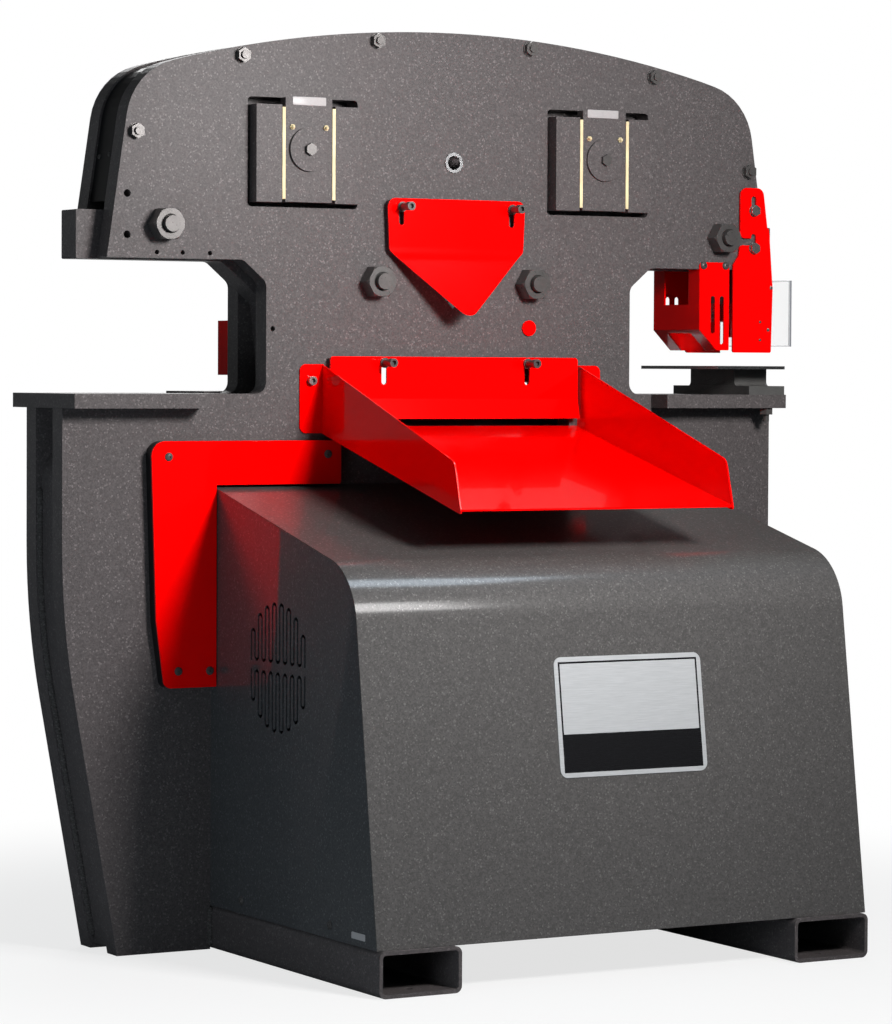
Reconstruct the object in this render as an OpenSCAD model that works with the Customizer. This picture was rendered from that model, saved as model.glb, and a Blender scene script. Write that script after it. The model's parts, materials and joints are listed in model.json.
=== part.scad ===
// Hydraulic ironworker: two arched frame plates, a beam that slides down
// between them, a punch station, two shears, an open station and a power unit.
// Origin: on the floor, midway between the frame plates. The hood is at -Y.

/* [Frame] */
// Thickness of each frame plate
plate_t = 40; // [34:1:50]
// Clear gap between the frame plates
plate_gap = 70; // [66:1:90]
// Height of the work tables above the floor
table_z = 963; // [860:1:1160]
// Height of both throats above the tables
throat_h = 232; // [190:1:280]
// Height of the arch crown above the underside of the arms
upper_h = 410; // [380:1:500]
// Radius of the arch
arch_r = 2200; // [1850:10:2700]
// Half width of the frame at the underside of the arms
arm_half_w = 678; // [660:1:820]
// How far the sides lean in between arms and arch
side_lean = 48; // [30:1:70]
// Distance of each throat wall from the middle
throat_x = 374; // [366:1:430]
// Left half width of the lower frame
left_w = 760; // [700:1:915]
// Right half width of the lower frame
right_w = 685; // [680:1:825]
// Angle that the lower sides reach at the floor
sweep_angle = 10.3; // [4:0.1:14]

/* [Tables] */
// Thickness of the work tables
table_t = 25; // [18:1:32]
// Overhang of the tables past each frame plate
table_over = 55; // [48:1:70]
// Length of the left table
left_table_l = 258; // [200:1:310]
// Length of the right table
right_table_l = 263; // [210:1:270]

/* [Windows] */
// Distance of each window centre from the middle
window_x = 303; // [285:1:330]
// Width of each window
window_w = 216; // [190:1:230]
// Height of each window
window_h = 190; // [184:1:220]
// Width of each guide block
guide_w = 56; // [44:1:60]
// Thickness of each brass gib
gib_t = 6; // [4:0.5:9]
// How far guides and slides stand out of the frame plates
guide_proud = 22; // [16:1:30]
// Diameter of the crosshead pins
pin_d = 60; // [50:1:64]
// Stroke of the beam
stroke = 60; // [40:1:62]

/* [Beam] */
// Thickness of the beam
beam_t = 60; // [50:1:64]
// Height of the beam's end blocks
beam_end_h = 84; // [70:1:92]
// How far the beam's ends reach past the arms
beam_over = 37; // [20:1:44]

/* [Shears] */
// Half diagonal of the angle shear opening
angle_half = 90; // [70:1:94]
// Half length of the flat shear opening
flat_half = 245; // [200:1:250]
// Rise of the raked blade along its length
flat_rake = 45; // [30:1:54]
// Smallest height of the flat shear opening
flat_gap = 15; // [12:1:20]
// Width of the angle shear blades
angle_blade_w = 22; // [16:1:24]
// Height of the flat shear blades
flat_blade_h = 32; // [24:1:38]

/* [Punch] */
// Distance of the punch axis from the middle
punch_x = 643; // [610:1:644]
// Diameter of the punch
punch_d = 20; // [10:0.5:28]
// Clearance between punch and die on the diameter
die_clear = 0.8; // [0.4:0.1:2]
// Width of the die block
die_w = 72; // [64:1:80]
// Length of the die block across the table
die_l = 148; // [120:1:180]

/* [Hood] */
// Distance between the outer faces of the hood's sides
hood_w = 958; // [900:2:1100]
// Depth of the hood at the floor, from the frame plate
hood_d = 602; // [560:1:700]
// Height of the hood at the frame plate
hood_h = 805; // [760:1:850]
// Slope of the hood's top, in degrees
hood_slope = 13.8; // [8:0.2:16]
// Lean of the hood's front, in degrees
hood_lean = 8; // [4:0.5:10]
// Radius of the bend between top and front
hood_r = 115; // [80:1:160]
// Thickness of the hood's sheet
hood_t = 2.5; // [2:0.1:4]
// Diameter of the round vent field
vent_d = 220; // [190:1:240]
// Width of the vent's slot
vent_slot = 5; // [3:0.5:6]

/* [Base] */
// Width of the fork tubes
tube_w = 152.4; // [120:0.1:180]
// Height of the fork tubes
tube_h = 76.2; // [64:0.1:92]
// Wall of the fork tubes
tube_wall = 6.4; // [4:0.1:8]
// How far the fork tubes stick out past the frame at the front
tube_front = 610; // [600:1:720]
// How far the fork tubes stick out past the frame at the rear
tube_rear = 250; // [180:1:300]

/* [Guards] */
// Thickness of the guards' sheet
guard_t = 4; // [3:0.5:5]
// Gap between the lifting guards and the frame plate
guard_gap = 10; // [7:1:14]
// Half width of the drop tray
tray_half = 265; // [262:1:275]
// Reach of the drop tray from the frame plate
tray_reach = 501; // [400:1:560]
// Slope of the tray's floor, in degrees
tray_slope = 14.5; // [10:0.1:16]
// Half width of the flat shear guard
flat_guard_half = 254; // [246:1:256]
// Half width of the angle shear guard
angle_guard_half = 141; // [134:1:150]

/* [Hidden] */
$fn = 64;

red = "red";
paint = "dimgray";
dark = "#222222";
steel = "silver";
brass = "goldenrod";

// Clearances: between bodies, round a running shaft (on the diameter), round a bolt
run_gap = 0.3;
shaft_gap = 0.1;
bolt_gap = 1;
// Small overlap that keeps a cut clean
cut = 1;

// Frame planes and heights
half_gap = plate_gap / 2;
face_y = half_gap + plate_t;
arm_z = table_z + throat_h;
crown_z = arm_z + upper_h;
shoulder_z = table_z - table_t;
crown_half_w = arm_half_w - side_lean;
flat_z = table_z + 3;
angle_z = arm_z + 10;
window_z = arm_z + 187.5;
pin_z = arm_z + 193;

// Lower sides: upright down to sweep_z, then an arc, then straight
sweep_r = 1500;
sweep_z = table_z - 258;

// Corners of the windows
window_r = 7;

// Throat: chamfer and corner radii
throat_chamfer = [45, 38];
throat_r = 20;
crown_r = 115;

// Tie bars with a thicker middle that spaces the plates, and their nuts
tie_d = 28;
tie_mid_d = 48;
tie_af = 52;
tie_nut_h = 30;
tie_end_h = 39;
tie_outer = [arm_half_w - 106, arm_z + 58];
tie_inner = [159, arm_z - 34];
tie_places = [[-tie_outer[0], tie_outer[1]], tie_outer,
              [-tie_inner[0], tie_inner[1]], tie_inner];
tie_slot_w = tie_mid_d + 6;

// Bolts along the arch, as [x, inset], and at the sides, as [side, height, inset]
edge_bolt_d = 14;
edge_bolt_af = 23;
arch_bolts = [[-422, 16], [-157, 15], [157, 15], [422, 19]];
side_bolt_at = [[-1, arm_z + 215, 21], [1, arm_z + 183, 17]];

// Bolts that hold the die block's foot on the right table
foot_bolt_d = 12;
foot_bolt_x = punch_x + 9;
foot_bolt_y = face_y + 38;

// Webs between the plates
web_inset = 10;
web_t = 12;
web_top = table_z - 88;
web_r = 60;
web_l = 200;
base_web = [200, 20];
rib_x = 450;
chute_z = [table_z - 83, table_z - 59, table_z - 48];

// Plug in the unused hole
plug_at = [157, arm_z - 113];
plug_d = 24;

// Cover strip along the arch
strip_inset = 4;
strip_t = 3;
strip_end_z = arm_z + 97;

// Lifting guards on standoffs
standoff_d = 9;
standoff_base_d = 16;
standoff_collar_d = 18;
standoff_reach = 50;
slot_w = 11;
guard_y = -face_y - guard_gap - guard_t;
angle_slot_x = 113;
angle_slot_z = [angle_z + 62, angle_z + 89];
angle_guard_top = angle_z + 104;
angle_guard_tip = angle_z - 110;
angle_guard_bend_z = angle_z + 5;
angle_guard_bend = 24;
flat_slot_x = 147;
flat_slot_z = [flat_z + 19, flat_z + 52];
flat_guard_z = [flat_z - 47, flat_z + 63];
flat_guard_kick = 8;
flat_open = [table_z - 57, flat_z + 55];

// Drop tray
tray_t = 3;
tray_top = table_z + 52;
tray_low = table_z - 69;
tray_floor = table_z - 57;
tray_flange = 44;
tray_splay = 5;
tray_front_top = table_z - 108;
tray_front_low = table_z - 195;
tray_bolt = [tray_half + 22, table_z + 23];

// Die set on the right table
die_foot = [die_w + 7, 2 * (face_y + table_over) - 4, 16];
die_fillet = 8;
die_h = 31;
die_d = 45;
die_insert_h = 28;
slug_d = 34;
support_t = 6;
support_z = table_z + die_foot[2] + die_h;
support_x = [punch_x - 111, punch_x + 38];

// Punch column under the beam
holder_d = 84;
holder_h = 60;
neck_d = 56;
neck_h = 18;
nut_d = 72;
nut_floor = 6;
punch_head_h = 10;
nut_h = neck_h + punch_head_h + nut_floor;
punch_tip_z = support_z + support_t + 54;

// Stripper guard, in X and Z
stripper_x = [punch_x - 118, punch_x - 52];
stripper_z = [table_z + 82, arm_z + 13];
stripper_t = 3;
stripper_cut = 38;
stripper_gap = 41;
stripper_screws = [stripper_x[0] + 9, stripper_x[1] - 8];
stripper_screw_z = arm_z + 7;

// Side guards at the punch, on two bolts each
side_x0 = punch_x - 45;
side_z0 = table_z + 78;
side_travel = 21.5;
side_y = face_y + 2;
side_bolt_z = [arm_z + 40.5, arm_z + 110.5];
side_bolt_d = 10;
side_bolt_af = 18;
shield_x = punch_x + 90;
shield_t = 3;
shield_z = [table_z + 90, arm_z - 18];

// L-shaped face plate left of the hood, on a thick backing
face_plate_x = [-hood_w / 2 - 126, -238];
face_plate_z = [table_z - 505, hood_h + 1, hood_h + 77];
backing_t = 20;
face_screws = [[face_plate_x[0] + 33, face_plate_z[2] - 27],
               [face_plate_x[1] - 26, face_plate_z[2] - 24],
               [face_plate_x[0] + 52, face_plate_z[0] + 29],
               [face_plate_x[0] + 112, face_plate_z[0] + 28]];

// Hood
hood_half = hood_w / 2;
vent_y = -face_y - 252;
vent_z = 506;
vent_runs = 16;
vent_pitch = vent_d * 0.059;
vent_bridge = 14;
hood_screw_y = [-face_y - 441, -face_y - 120];
hood_screw_z = tube_h + 22;
badge = [290, 200, 1.5];
badge_at = [30, 432];

// Fork tubes
tube_r = 12;
tube_x = hood_half - tube_w / 2;

// Hydraulic cylinder, hanging under its window's top edge
cyl_d = 140;
cyl_bore = 100;
cyl_low = 420;
cyl_top = 690;
cyl_flange_h = 26;
cyl_gland_h = 30;
cyl_ports = [480, 660];
port_d = 30;
cyl_window = [220, 130, cyl_top + cyl_flange_h];
rod_d = 60;
piston_z = [610, 650];

// Crosshead under the cylinder and pull rods up to the beam
yoke_z = [200, 250];
yoke_half = 330;
pull_d = 40;
pull_x = 300;
pull_top = flat_z + 115;
pull_nut_h = 30;

// Beam outline
beam_low = arm_z - 2;
beam_end_x = arm_half_w + beam_over;
lug_z = flat_z + 19;
lug_x = [262, 340];
blade_show = 12;

// Power unit inside the hood
tank = [840, 430, 180];
tank_y = -face_y - 500;
tank_top = tube_h + tank[2];
axis_y = tank_y + 200;
axis_z = tank_top + 112;
motor_d = 190;
motor_x = [-375, -135];
pump_x = [-66, 24];
pump_w = 100;
shaft_d = 24;
coupling_d = 56;
valve = [120, 120, 110];
valve_x = 110;
valve_y = tank_y + 245;
pipe_d = 18;

// Control box on the right side of the hood
box_size = [45, 100, 160];
box_y = -face_y - 108;
box_z = 490;
button_d = 28;
button_travel = 4;
start_z = box_z + 110;
stop_z = box_z + 45;

// Rear of the machine
feed = [840, 155, 3];
rear_guard_x = 360;
rear_guard_d = 67;
rear_guard_z = [table_z + 32, table_z + 47, table_z + 129];
sheet_t = 3;
cover_x = 150;
cover_z = [100, 750];
rear_screws = [[rear_guard_x - 17, table_z + 66], [rear_guard_x - 17, table_z + 112]];
cover_screws = [[cover_x - 18, cover_z[0] + 15], [cover_x - 18, cover_z[1] - 17]];
flat_hold_x = 130;
hold_d = 20;

// Button-head screws
screw_d = 8;
screw_head_d = 15;
screw_head_h = 4;

// ---- helpers ----

function unit(v) = v / norm(v);
function flat2(p) = [p[0], p[1]];

// Points of a round corner of radius r at b, between a and c
function corner(a, b, c, r, n = 8) = r <= 0 ? [b] :
    let (u = unit(a - b), v = unit(c - b), half = acos(u * v) / 2,
         centre = b + unit(u + v) * r / sin(half),
         s = b + u * r / tan(half) - centre, e = b + v * r / tan(half) - centre,
         a0 = atan2(s[1], s[0]), turn = (atan2(e[1], e[0]) - a0 + 540) % 360 - 180)
    [for (i = [0:n]) centre + r * [cos(a0 + turn * i / n), sin(a0 + turn * i / n)]];

// Outline with round corners, from a list of [x, y, radius]
function rounded(p) = let (n = len(p))
    [for (i = [0:n - 1])
        each corner(flat2(p[(i + n - 1) % n]), flat2(p[i]), flat2(p[(i + 1) % n]), p[i][2])];

// The same outline points on the other side of the middle, in reverse order
function mirrored(p) = [for (i = [len(p) - 1:-1:0]) [-p[i][0], p[i][1], p[i][2]]];
function reversed(p) = [for (i = [len(p) - 1:-1:0]) p[i]];

module outline(p) {
    polygon(rounded(p));
}

module round_rect(w, h, r) {
    outline([[-w / 2, 0, r], [w / 2, 0, r], [w / 2, h, r], [-w / 2, h, r]]);
}

// Shape in the XZ plane, t thick from y0 towards the rear
module plate_xz(y0, t) {
    translate([0, y0 + t, 0]) rotate([90, 0, 0]) linear_extrude(t) children();
}

// Profile in the YZ plane, l long from x0
module profile_yz(x0, l) {
    translate([x0, 0, 0]) rotate([90, 0, 90]) linear_extrude(l) children();
}

// Round bar or hole along Y
module rod_y(x, z, d, y0, y1) {
    translate([x, y0, z]) rotate([-90, 0, 0]) cylinder(d = d, h = y1 - y0);
}

// Round bar or hole along X
module rod_x(y, z, d, x0, x1) {
    translate([x0, y, z]) rotate([0, 90, 0]) cylinder(d = d, h = x1 - x0);
}

// Round bar or hole along Z
module rod_z(x, y, d, z0, z1) {
    translate([x, y, z0]) cylinder(d = d, h = z1 - z0);
}

// Straight bar between two points
module bar(p, q, d) {
    v = q - p;
    translate(p) rotate([0, acos(v[2] / norm(v)), atan2(v[1], v[0])]) cylinder(d = d, h = norm(v));
}

// Hexagonal bar along Y, measured across its flats, with corners up or at its sides
module hex_y(x, z, af, y0, y1, turn = 30) {
    translate([x, y0, z]) rotate([-90, turn, 0])
        cylinder(d = af / cos(30), h = y1 - y0, $fn = 6);
}

module hex_z(x, y, af, z0, z1) {
    translate([x, y, z0]) cylinder(d = af / cos(30), h = z1 - z0, $fn = 6);
}

// Upright slot between two end centres
module slot2d(x, z0, z1, w) {
    translate([x, z0]) circle(d = w);
    translate([x, z1]) circle(d = w);
    translate([x - w / 2, z0]) square([w, z1 - z0]);
}

module box_at(p0, p1) {
    translate(p0) cube(p1 - p0);
}

// The children, and their mirror image at the rear
module both_faces() {
    children();
    mirror([0, 1, 0]) children();
}

// The children, and their mirror image at the other side
module both_sides() {
    children();
    mirror([1, 0, 0]) children();
}

// Button head with a socket, standing on z = 0
module button_head() {
    difference() {
        rotate_extrude($fn = 32)
            polygon(concat([[0, 0]],
                [for (a = [0:18:90]) [screw_head_d / 2 * cos(a), screw_head_h * sin(a)]]));
        translate([0, 0, screw_head_h / 2]) cylinder(d = screw_d * 0.6, h = screw_head_h, $fn = 6);
    }
}

// Button-head screw whose head lies on the plane y and points to -Y
module screw_y(x, z, y, l) {
    translate([x, y, z]) rotate([90, 0, 0]) button_head();
    rod_y(x, z, screw_d - 1, y - 0.5, y + l);
}

// Hex bolt with a washer; its washer lies on the plane y and the head points to -Y
module hex_bolt_y(x, z, y, d, af, l) {
    rod_y(x, z, af * 1.2, y - 2, y);
    hex_y(x, z, af, y - 2 - d * 0.65, y - 2);
    rod_y(x, z, d, y - cut, y + l);
}

// ---- frame plates ----

// Height of the arch at x, d inside the edge
function arch_z(x, d = 0) = crown_z - arch_r + sqrt(pow(arch_r - d, 2) - pow(x, 2));

// Side edge at a height, d inside the edge
side_angle = atan(side_lean / (arch_z(crown_half_w) - arm_z));
function side_edge(z, d = 0) = arm_half_w - (z - arm_z) * tan(side_angle) - d / cos(side_angle);

// Where side and arch meet, found by stepping between them
function crown_x(d, x, n) = n == 0 ? x : crown_x(d, side_edge(arch_z(x, d), d), n - 1);
function crown_point(d) = let (x = crown_x(d, crown_half_w, 5)) [x, arch_z(x, d), crown_r - d];

// Edge from the left side over the arch to the right side, d inside the edge
function top_edge(d, z0) = concat(
    [[-side_edge(z0, d), z0, 0]], mirrored([crown_point(d)]),
    [for (i = [-14:14]) let (x = crown_half_w * 0.84 * i / 14) [x, arch_z(x, d), 0]],
    [crown_point(d)], [[side_edge(z0, d), z0, 0]]);

// Side of the lower frame from the upright stretch to the height z0
function low_edge(w, d = 0, z0 = 0) = let (c = w - sweep_r, r = sweep_r - d)
    concat([for (i = [0:8]) let (a = sweep_angle * i / 8) [c + r * cos(a), sweep_z - r * sin(a), 0]],
           [[c + r * cos(sweep_angle) - (sweep_z - r * sin(sweep_angle) - z0) * tan(sweep_angle),
             z0, 0]]);

// Throat, table seat and lower side on the right of the middle
function half_edge(w, table_l) = concat(
    [[throat_x + throat_chamfer[0], arm_z, throat_r], [throat_x, arm_z - throat_chamfer[1], throat_r],
     [throat_x, table_z, throat_r], [w - table_l, table_z, 0], [w - table_l, shoulder_z, 0],
     [w, shoulder_z, 0]],
    low_edge(w));

module frame_outline() {
    outline(concat(top_edge(0, arm_z), half_edge(right_w, right_table_l),
                   mirrored(half_edge(left_w, left_table_l))));
}

module diamond(half) {
    translate([0, angle_z]) rotate(45) square(half * sqrt(2), center = true);
}

// Openings that both frame plates share
module shared_openings() {
    both_sides() {
        translate([window_x, window_z - window_h / 2]) round_rect(window_w, window_h, window_r);
        translate([tube_x - tube_w / 2, -cut]) square([tube_w, tube_h + cut]);
    }
    diamond(angle_half);
    translate([-cyl_window[0] / 2, cyl_window[1]])
        square([cyl_window[0], cyl_window[2] - cyl_window[1]]);
}

// Places of the bolts near the edge, as [x, z]
edge_bolts = concat([for (b = arch_bolts) [b[0], arch_z(b[0], b[1])]],
                    [for (b = side_bolt_at) [b[0] * side_edge(b[1], b[2]), b[1]]]);

// Bolt holes that both frame plates share
module shared_holes(y0, y1) {
    for (p = tie_places) rod_y(p[0], p[1], tie_d + bolt_gap, y0, y1);
    for (p = edge_bolts) rod_y(p[0], p[1], edge_bolt_d + bolt_gap, y0, y1);
}

// Tapped holes l deep, seen from the front, that both faces share
module side_guard_taps(l) {
    for (z = side_bolt_z) rod_y(punch_x, z, side_bolt_d, -face_y - cut, -face_y + l);
    for (x = stripper_screws) rod_y(x, stripper_screw_z, screw_d - 1, -face_y - cut, -face_y + 16);
}

module front_plate() color(paint) difference() {
    plate_xz(-face_y, plate_t) difference() {
        frame_outline();
        shared_openings();
        translate([-flat_half, flat_open[0]]) square([2 * flat_half, flat_open[1] - flat_open[0]]);
    }
    shared_holes(-face_y - cut, -half_gap + cut);
    side_guard_taps(25);
    both_sides() {
        rod_y(angle_slot_x, angle_slot_z[1], standoff_d, -face_y - cut, -face_y + 20);
        rod_y(flat_slot_x, flat_slot_z[1], standoff_d, -face_y - cut, -face_y + 20);
        rod_y(tray_bolt[0], tray_bolt[1], standoff_d, -face_y - cut, -face_y + 20);
    }
    for (p = face_screws) rod_y(p[0], p[1], screw_d - 1, -face_y - cut, -face_y + 12);
    rod_y(0, arm_z + 180, 36, -face_y - cut, -half_gap + cut);
    rod_y(plug_at[0], plug_at[1], plug_d, -face_y - cut, -half_gap + cut);
    rod_y(-361, arm_z - 119, 9, -face_y - cut, -face_y + 25);
    for (z = [39, 109]) rod_y(-arm_half_w + 38, arm_z + z, 13, -face_y - cut, -half_gap + cut);
    for (x = [94, 143, 195]) rod_y(-arm_half_w + x, arm_z + 10, 8, -face_y - cut, -face_y + 25);
}

module rear_plate() color(paint) difference() {
    plate_xz(half_gap, plate_t) difference() {
        frame_outline();
        shared_openings();
        translate([-flat_half, flat_z]) square([2 * flat_half, flat_open[1] - flat_z]);
    }
    angle_lower_pocket();
    flat_lower_pocket();
    shared_holes(half_gap - cut, face_y + cut);
    mirror([0, 1, 0]) side_guard_taps(25);
    both_sides() for (p = concat(rear_screws, cover_screws))
        rod_y(p[0], p[1], screw_d - 1, face_y - 12, face_y + cut);
}

// Webs along the lower sides, each bent inwards at its top
module side_web(w) {
    plate_xz(-half_gap, plate_gap) outline(concat(
        [[w - web_l, web_top, 0], [w - web_inset, web_top, web_r]],
        low_edge(w, web_inset, 8), reversed(low_edge(w, web_inset + web_t, 8)),
        [[w - web_inset - web_t, web_top - web_t, web_r - web_t], [w - web_l, web_top - web_t, 0]]));
}

module frame_ribs() color(paint) {
    mirror([1, 0, 0]) side_web(left_w);
    difference() {
        side_web(right_w);
        rod_z(punch_x, 0, slug_d + 16, web_top - 200, web_top + cut);
    }
    box_at([-base_web[0] / 2, -half_gap, 0], [base_web[0] / 2, half_gap, base_web[1]]);
    both_sides() box_at([rib_x, -half_gap, tube_h + 14], [rib_x + web_t, half_gap, web_top - 40]);
    profile_yz(-flat_half, 2 * flat_half)
        polygon([[-half_gap, chute_z[0]], [half_gap, chute_z[0]], [half_gap, chute_z[2]],
                 [-half_gap, chute_z[1]]]);
}

module left_table() color(paint)
    box_at([-left_w - 2, -face_y - table_over, shoulder_z],
           [-left_w + left_table_l, face_y + table_over, table_z]);

module right_table() color(paint) difference() {
    box_at([right_w - right_table_l, -face_y - table_over, shoulder_z],
           [right_w, face_y + table_over, table_z]);
    rod_z(punch_x, 0, slug_d + 6, shoulder_z - cut, table_z + cut);
    both_faces() rod_z(foot_bolt_x, foot_bolt_y, foot_bolt_d + bolt_gap, shoulder_z - cut, table_z + cut);
}

module fork_tubes() color(paint) both_sides() difference() {
    translate([tube_x, 0, 0]) plate_xz(-face_y - tube_front, 2 * face_y + tube_front + tube_rear)
        difference() {
            round_rect(tube_w, tube_h, tube_r);
            translate([0, tube_wall])
                round_rect(tube_w - 2 * tube_wall, tube_h - 2 * tube_wall, tube_r - tube_wall);
        }
    rod_z(tube_x, -face_y - tube_front + 40, 14, -cut, tube_wall + cut);
}

module top_cover_strip() color(dark) plate_xz(-half_gap, plate_gap)
    outline(concat(top_edge(strip_inset, strip_end_z),
                   reversed(top_edge(strip_inset + strip_t, strip_end_z))));

// Tie bars: thick between the plates, with a nut on each end
module tie_bolts() color(steel) for (p = tie_places) {
    rod_y(p[0], p[1], tie_mid_d, -half_gap, half_gap);
    rod_y(p[0], p[1], tie_d, -face_y - tie_end_h, face_y + tie_end_h);
    both_faces() difference() {
        intersection() {
            hex_y(p[0], p[1], tie_af, -face_y - tie_nut_h, -face_y, 0);
            translate([p[0], -face_y, p[1]]) rotate([90, 0, 0])
                cylinder(d1 = tie_af + 40, d2 = tie_af * 1.03, h = tie_nut_h);
        }
        rod_y(p[0], p[1], tie_d, -face_y - tie_nut_h - cut, -face_y + cut);
        translate([p[0], -face_y - tie_nut_h + 3, p[1]]) rotate([90, 0, 0])
            cylinder(d1 = tie_d, d2 = tie_d + 8, h = 4);
    }
}

module frame_bolts() color(steel) {
    for (p = edge_bolts) {
        rod_y(p[0], p[1], edge_bolt_d, -face_y - 15, face_y + 15);
        both_faces() difference() {
            union() {
                rod_y(p[0], p[1], edge_bolt_af * 1.2, -face_y - 2, -face_y);
                hex_y(p[0], p[1], edge_bolt_af, -face_y - 11, -face_y - 2);
            }
            rod_y(p[0], p[1], edge_bolt_d, -face_y - 12, -face_y + cut);
        }
    }
    both_faces() {
        rod_z(foot_bolt_x, foot_bolt_y, foot_bolt_d, shoulder_z - 24, table_z + die_foot[2]);
        difference() {
            hex_z(foot_bolt_x, foot_bolt_y, edge_bolt_af, shoulder_z - 12, shoulder_z);
            rod_z(foot_bolt_x, foot_bolt_y, foot_bolt_d, shoulder_z - 13, shoulder_z + cut);
        }
    }
}

module centre_bush() color(steel) difference() {
    rod_y(0, arm_z + 180, 36, -face_y - 2, -half_gap);
    rod_y(0, arm_z + 180, 25, -face_y - 3, -half_gap + cut);
}

module hole_plug() color(red) {
    rod_y(plug_at[0], plug_at[1], plug_d + 4, -face_y - 4, -face_y);
    rod_y(plug_at[0], plug_at[1], plug_d, -face_y - cut, -half_gap);
}

front_plate();
rear_plate();
frame_ribs();
left_table();
right_table();
fork_tubes();
top_cover_strip();
tie_bolts();
frame_bolts();
centre_bush();
hole_plug();

// ---- guides in the windows ----

guide_y = -face_y - guide_proud;
guide_step = 6;
guide_end = [7.5, 13.5];
guide_lip = 8;
slide_half = window_w / 2 - guide_w - gib_t - run_gap;

// Guide block, narrower where it stands out of its window
module guide_block() {
    x0 = window_w / 2 - guide_w;
    z0 = window_z - window_h / 2 + guide_end[0];
    z1 = window_z + window_h / 2 - guide_end[1];
    box_at([x0, guide_y, z0], [window_w / 2 - guide_step, -half_gap, z1]);
    box_at([x0, -face_y + guide_lip, z0], [window_w / 2, -half_gap, z1]);
}

module guide_blocks() color(paint) both_faces() both_sides() translate([window_x, 0, 0]) {
    guide_block();
    mirror([1, 0, 0]) guide_block();
}

module brass_gibs() color(brass) both_faces() both_sides() for (s = [-1, 1]) {
    x = window_x + s * (window_w / 2 - guide_w - gib_t / 2);
    box_at([x - gib_t / 2, guide_y - 1, window_z - window_h / 2 + 13.5],
           [x + gib_t / 2, -half_gap, window_z + window_h / 2 - 17.5]);
}

nipple_at = [33, 38];
cap_d = 77;
cap_t = 5;
cap_bolt_d = 12;
cap_bolt_af = 19;
cap_bolt_l = 30;

module slide_blocks() color(paint) both_faces() both_sides() difference() {
    union() {
        box_at([window_x - slide_half, guide_y, pin_z - 92], [window_x + slide_half, -face_y - 2, pin_z + 89]);
        box_at([window_x - slide_half, -face_y - 2 - cut, pin_z - 36],
               [window_x + slide_half, -beam_t / 2, pin_z + 82]);
    }
    rod_y(window_x, pin_z, pin_d + shaft_gap, guide_y - cut, -beam_t / 2 + cut);
    for (s = [-1, 1]) rod_y(window_x + s * nipple_at[0], pin_z + nipple_at[1], 6, guide_y - cut, guide_y + 10);
}

module slide_pins() color(steel) both_sides() difference() {
    rod_y(window_x, pin_z, pin_d, guide_y, -guide_y);
    both_faces() rod_y(window_x, pin_z, cap_bolt_d, guide_y - cut, guide_y + cap_bolt_l);
}

module pin_caps() color(paint) both_faces() both_sides() difference() {
    rod_y(window_x, pin_z, cap_d, guide_y - cap_t, guide_y);
    rod_y(window_x, pin_z, cap_bolt_d + bolt_gap, guide_y - cap_t - cut, guide_y + cut);
}

module cap_bolts() color(steel) both_faces() both_sides() {
    hex_y(window_x, pin_z, cap_bolt_af, guide_y - cap_t - 7, guide_y - cap_t);
    rod_y(window_x, pin_z, cap_bolt_d, guide_y - cap_t - cut, guide_y + cap_bolt_l - 2);
}

module grease_nipples() color(brass) both_faces() both_sides() for (s = [-1, 1])
    translate([window_x + s * nipple_at[0], guide_y, pin_z + nipple_at[1]]) rotate([90, 0, 0]) {
        translate([0, 0, -8]) cylinder(d = 6, h = 9);
        cylinder(d = 10, h = 3, $fn = 6);
        cylinder(d = 5, h = 5);
        translate([0, 0, 5]) sphere(d = 6.5, $fn = 24);
    }

guide_blocks();
brass_gibs();
slide_blocks();
slide_pins();
pin_caps();
cap_bolts();
grease_nipples();

// ---- beam and shears ----

blade_y = beam_t / 2 - 22;
plate_blade_y = half_gap + 22;

// Cutting edge of the raked blade
function rake_z(x) = flat_z + flat_gap + flat_rake * (0.5 - x / (2 * (flat_half - 5)));

// Band of the angle blades around the diamond
module angle_band() {
    difference() {
        diamond(angle_half + angle_blade_w * sqrt(2));
        diamond(angle_half);
    }
}

module angle_lower_shape() intersection() {
    angle_band();
    translate([-300, angle_z - 302]) square([600, 300]);
}

module angle_upper_shape() intersection() {
    angle_band();
    translate([-300, angle_z + 2]) square([600, 300]);
}

module flat_upper_shape() {
    h = flat_half - 5;
    polygon([[-h, rake_z(-h)], [h, rake_z(h)], [h, rake_z(h) + flat_blade_h], [-h, rake_z(-h) + flat_blade_h]]);
}

module angle_lower_pocket() {
    plate_xz(half_gap - cut, 22 + cut) angle_lower_shape();
}

module flat_lower_pocket() {
    box_at([-flat_half, half_gap - cut, flat_z - flat_blade_h], [flat_half, plate_blade_y, flat_z + cut]);
}

module angle_lower_blades() color(steel)
    plate_xz(beam_t / 2 + run_gap, plate_blade_y - beam_t / 2 - run_gap) angle_lower_shape();

module flat_lower_blade() color(steel)
    box_at([-flat_half, beam_t / 2 + run_gap, flat_z - flat_blade_h], [flat_half, plate_blade_y, flat_z]);

module angle_upper_blades() color(steel) plate_xz(blade_y, beam_t / 2 - blade_y) angle_upper_shape();

module flat_upper_blade() color(steel) plate_xz(blade_y, beam_t / 2 - blade_y) flat_upper_shape();

function beam_half(s) = [
    [430, pin_z + 105, 40], [605, pin_z, 40], [612, beam_low + beam_end_h, 8],
    [beam_end_x, beam_low + beam_end_h, 3], [beam_end_x, beam_low, 3],
    [throat_x + 66, beam_low, 20], [throat_x - 22, arm_z - 75, 20], [lug_x[1], lug_z, 10],
    [lug_x[0], lug_z, 0], [lug_x[0], rake_z(s * lug_x[0]) + blade_show, 0]];

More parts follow.
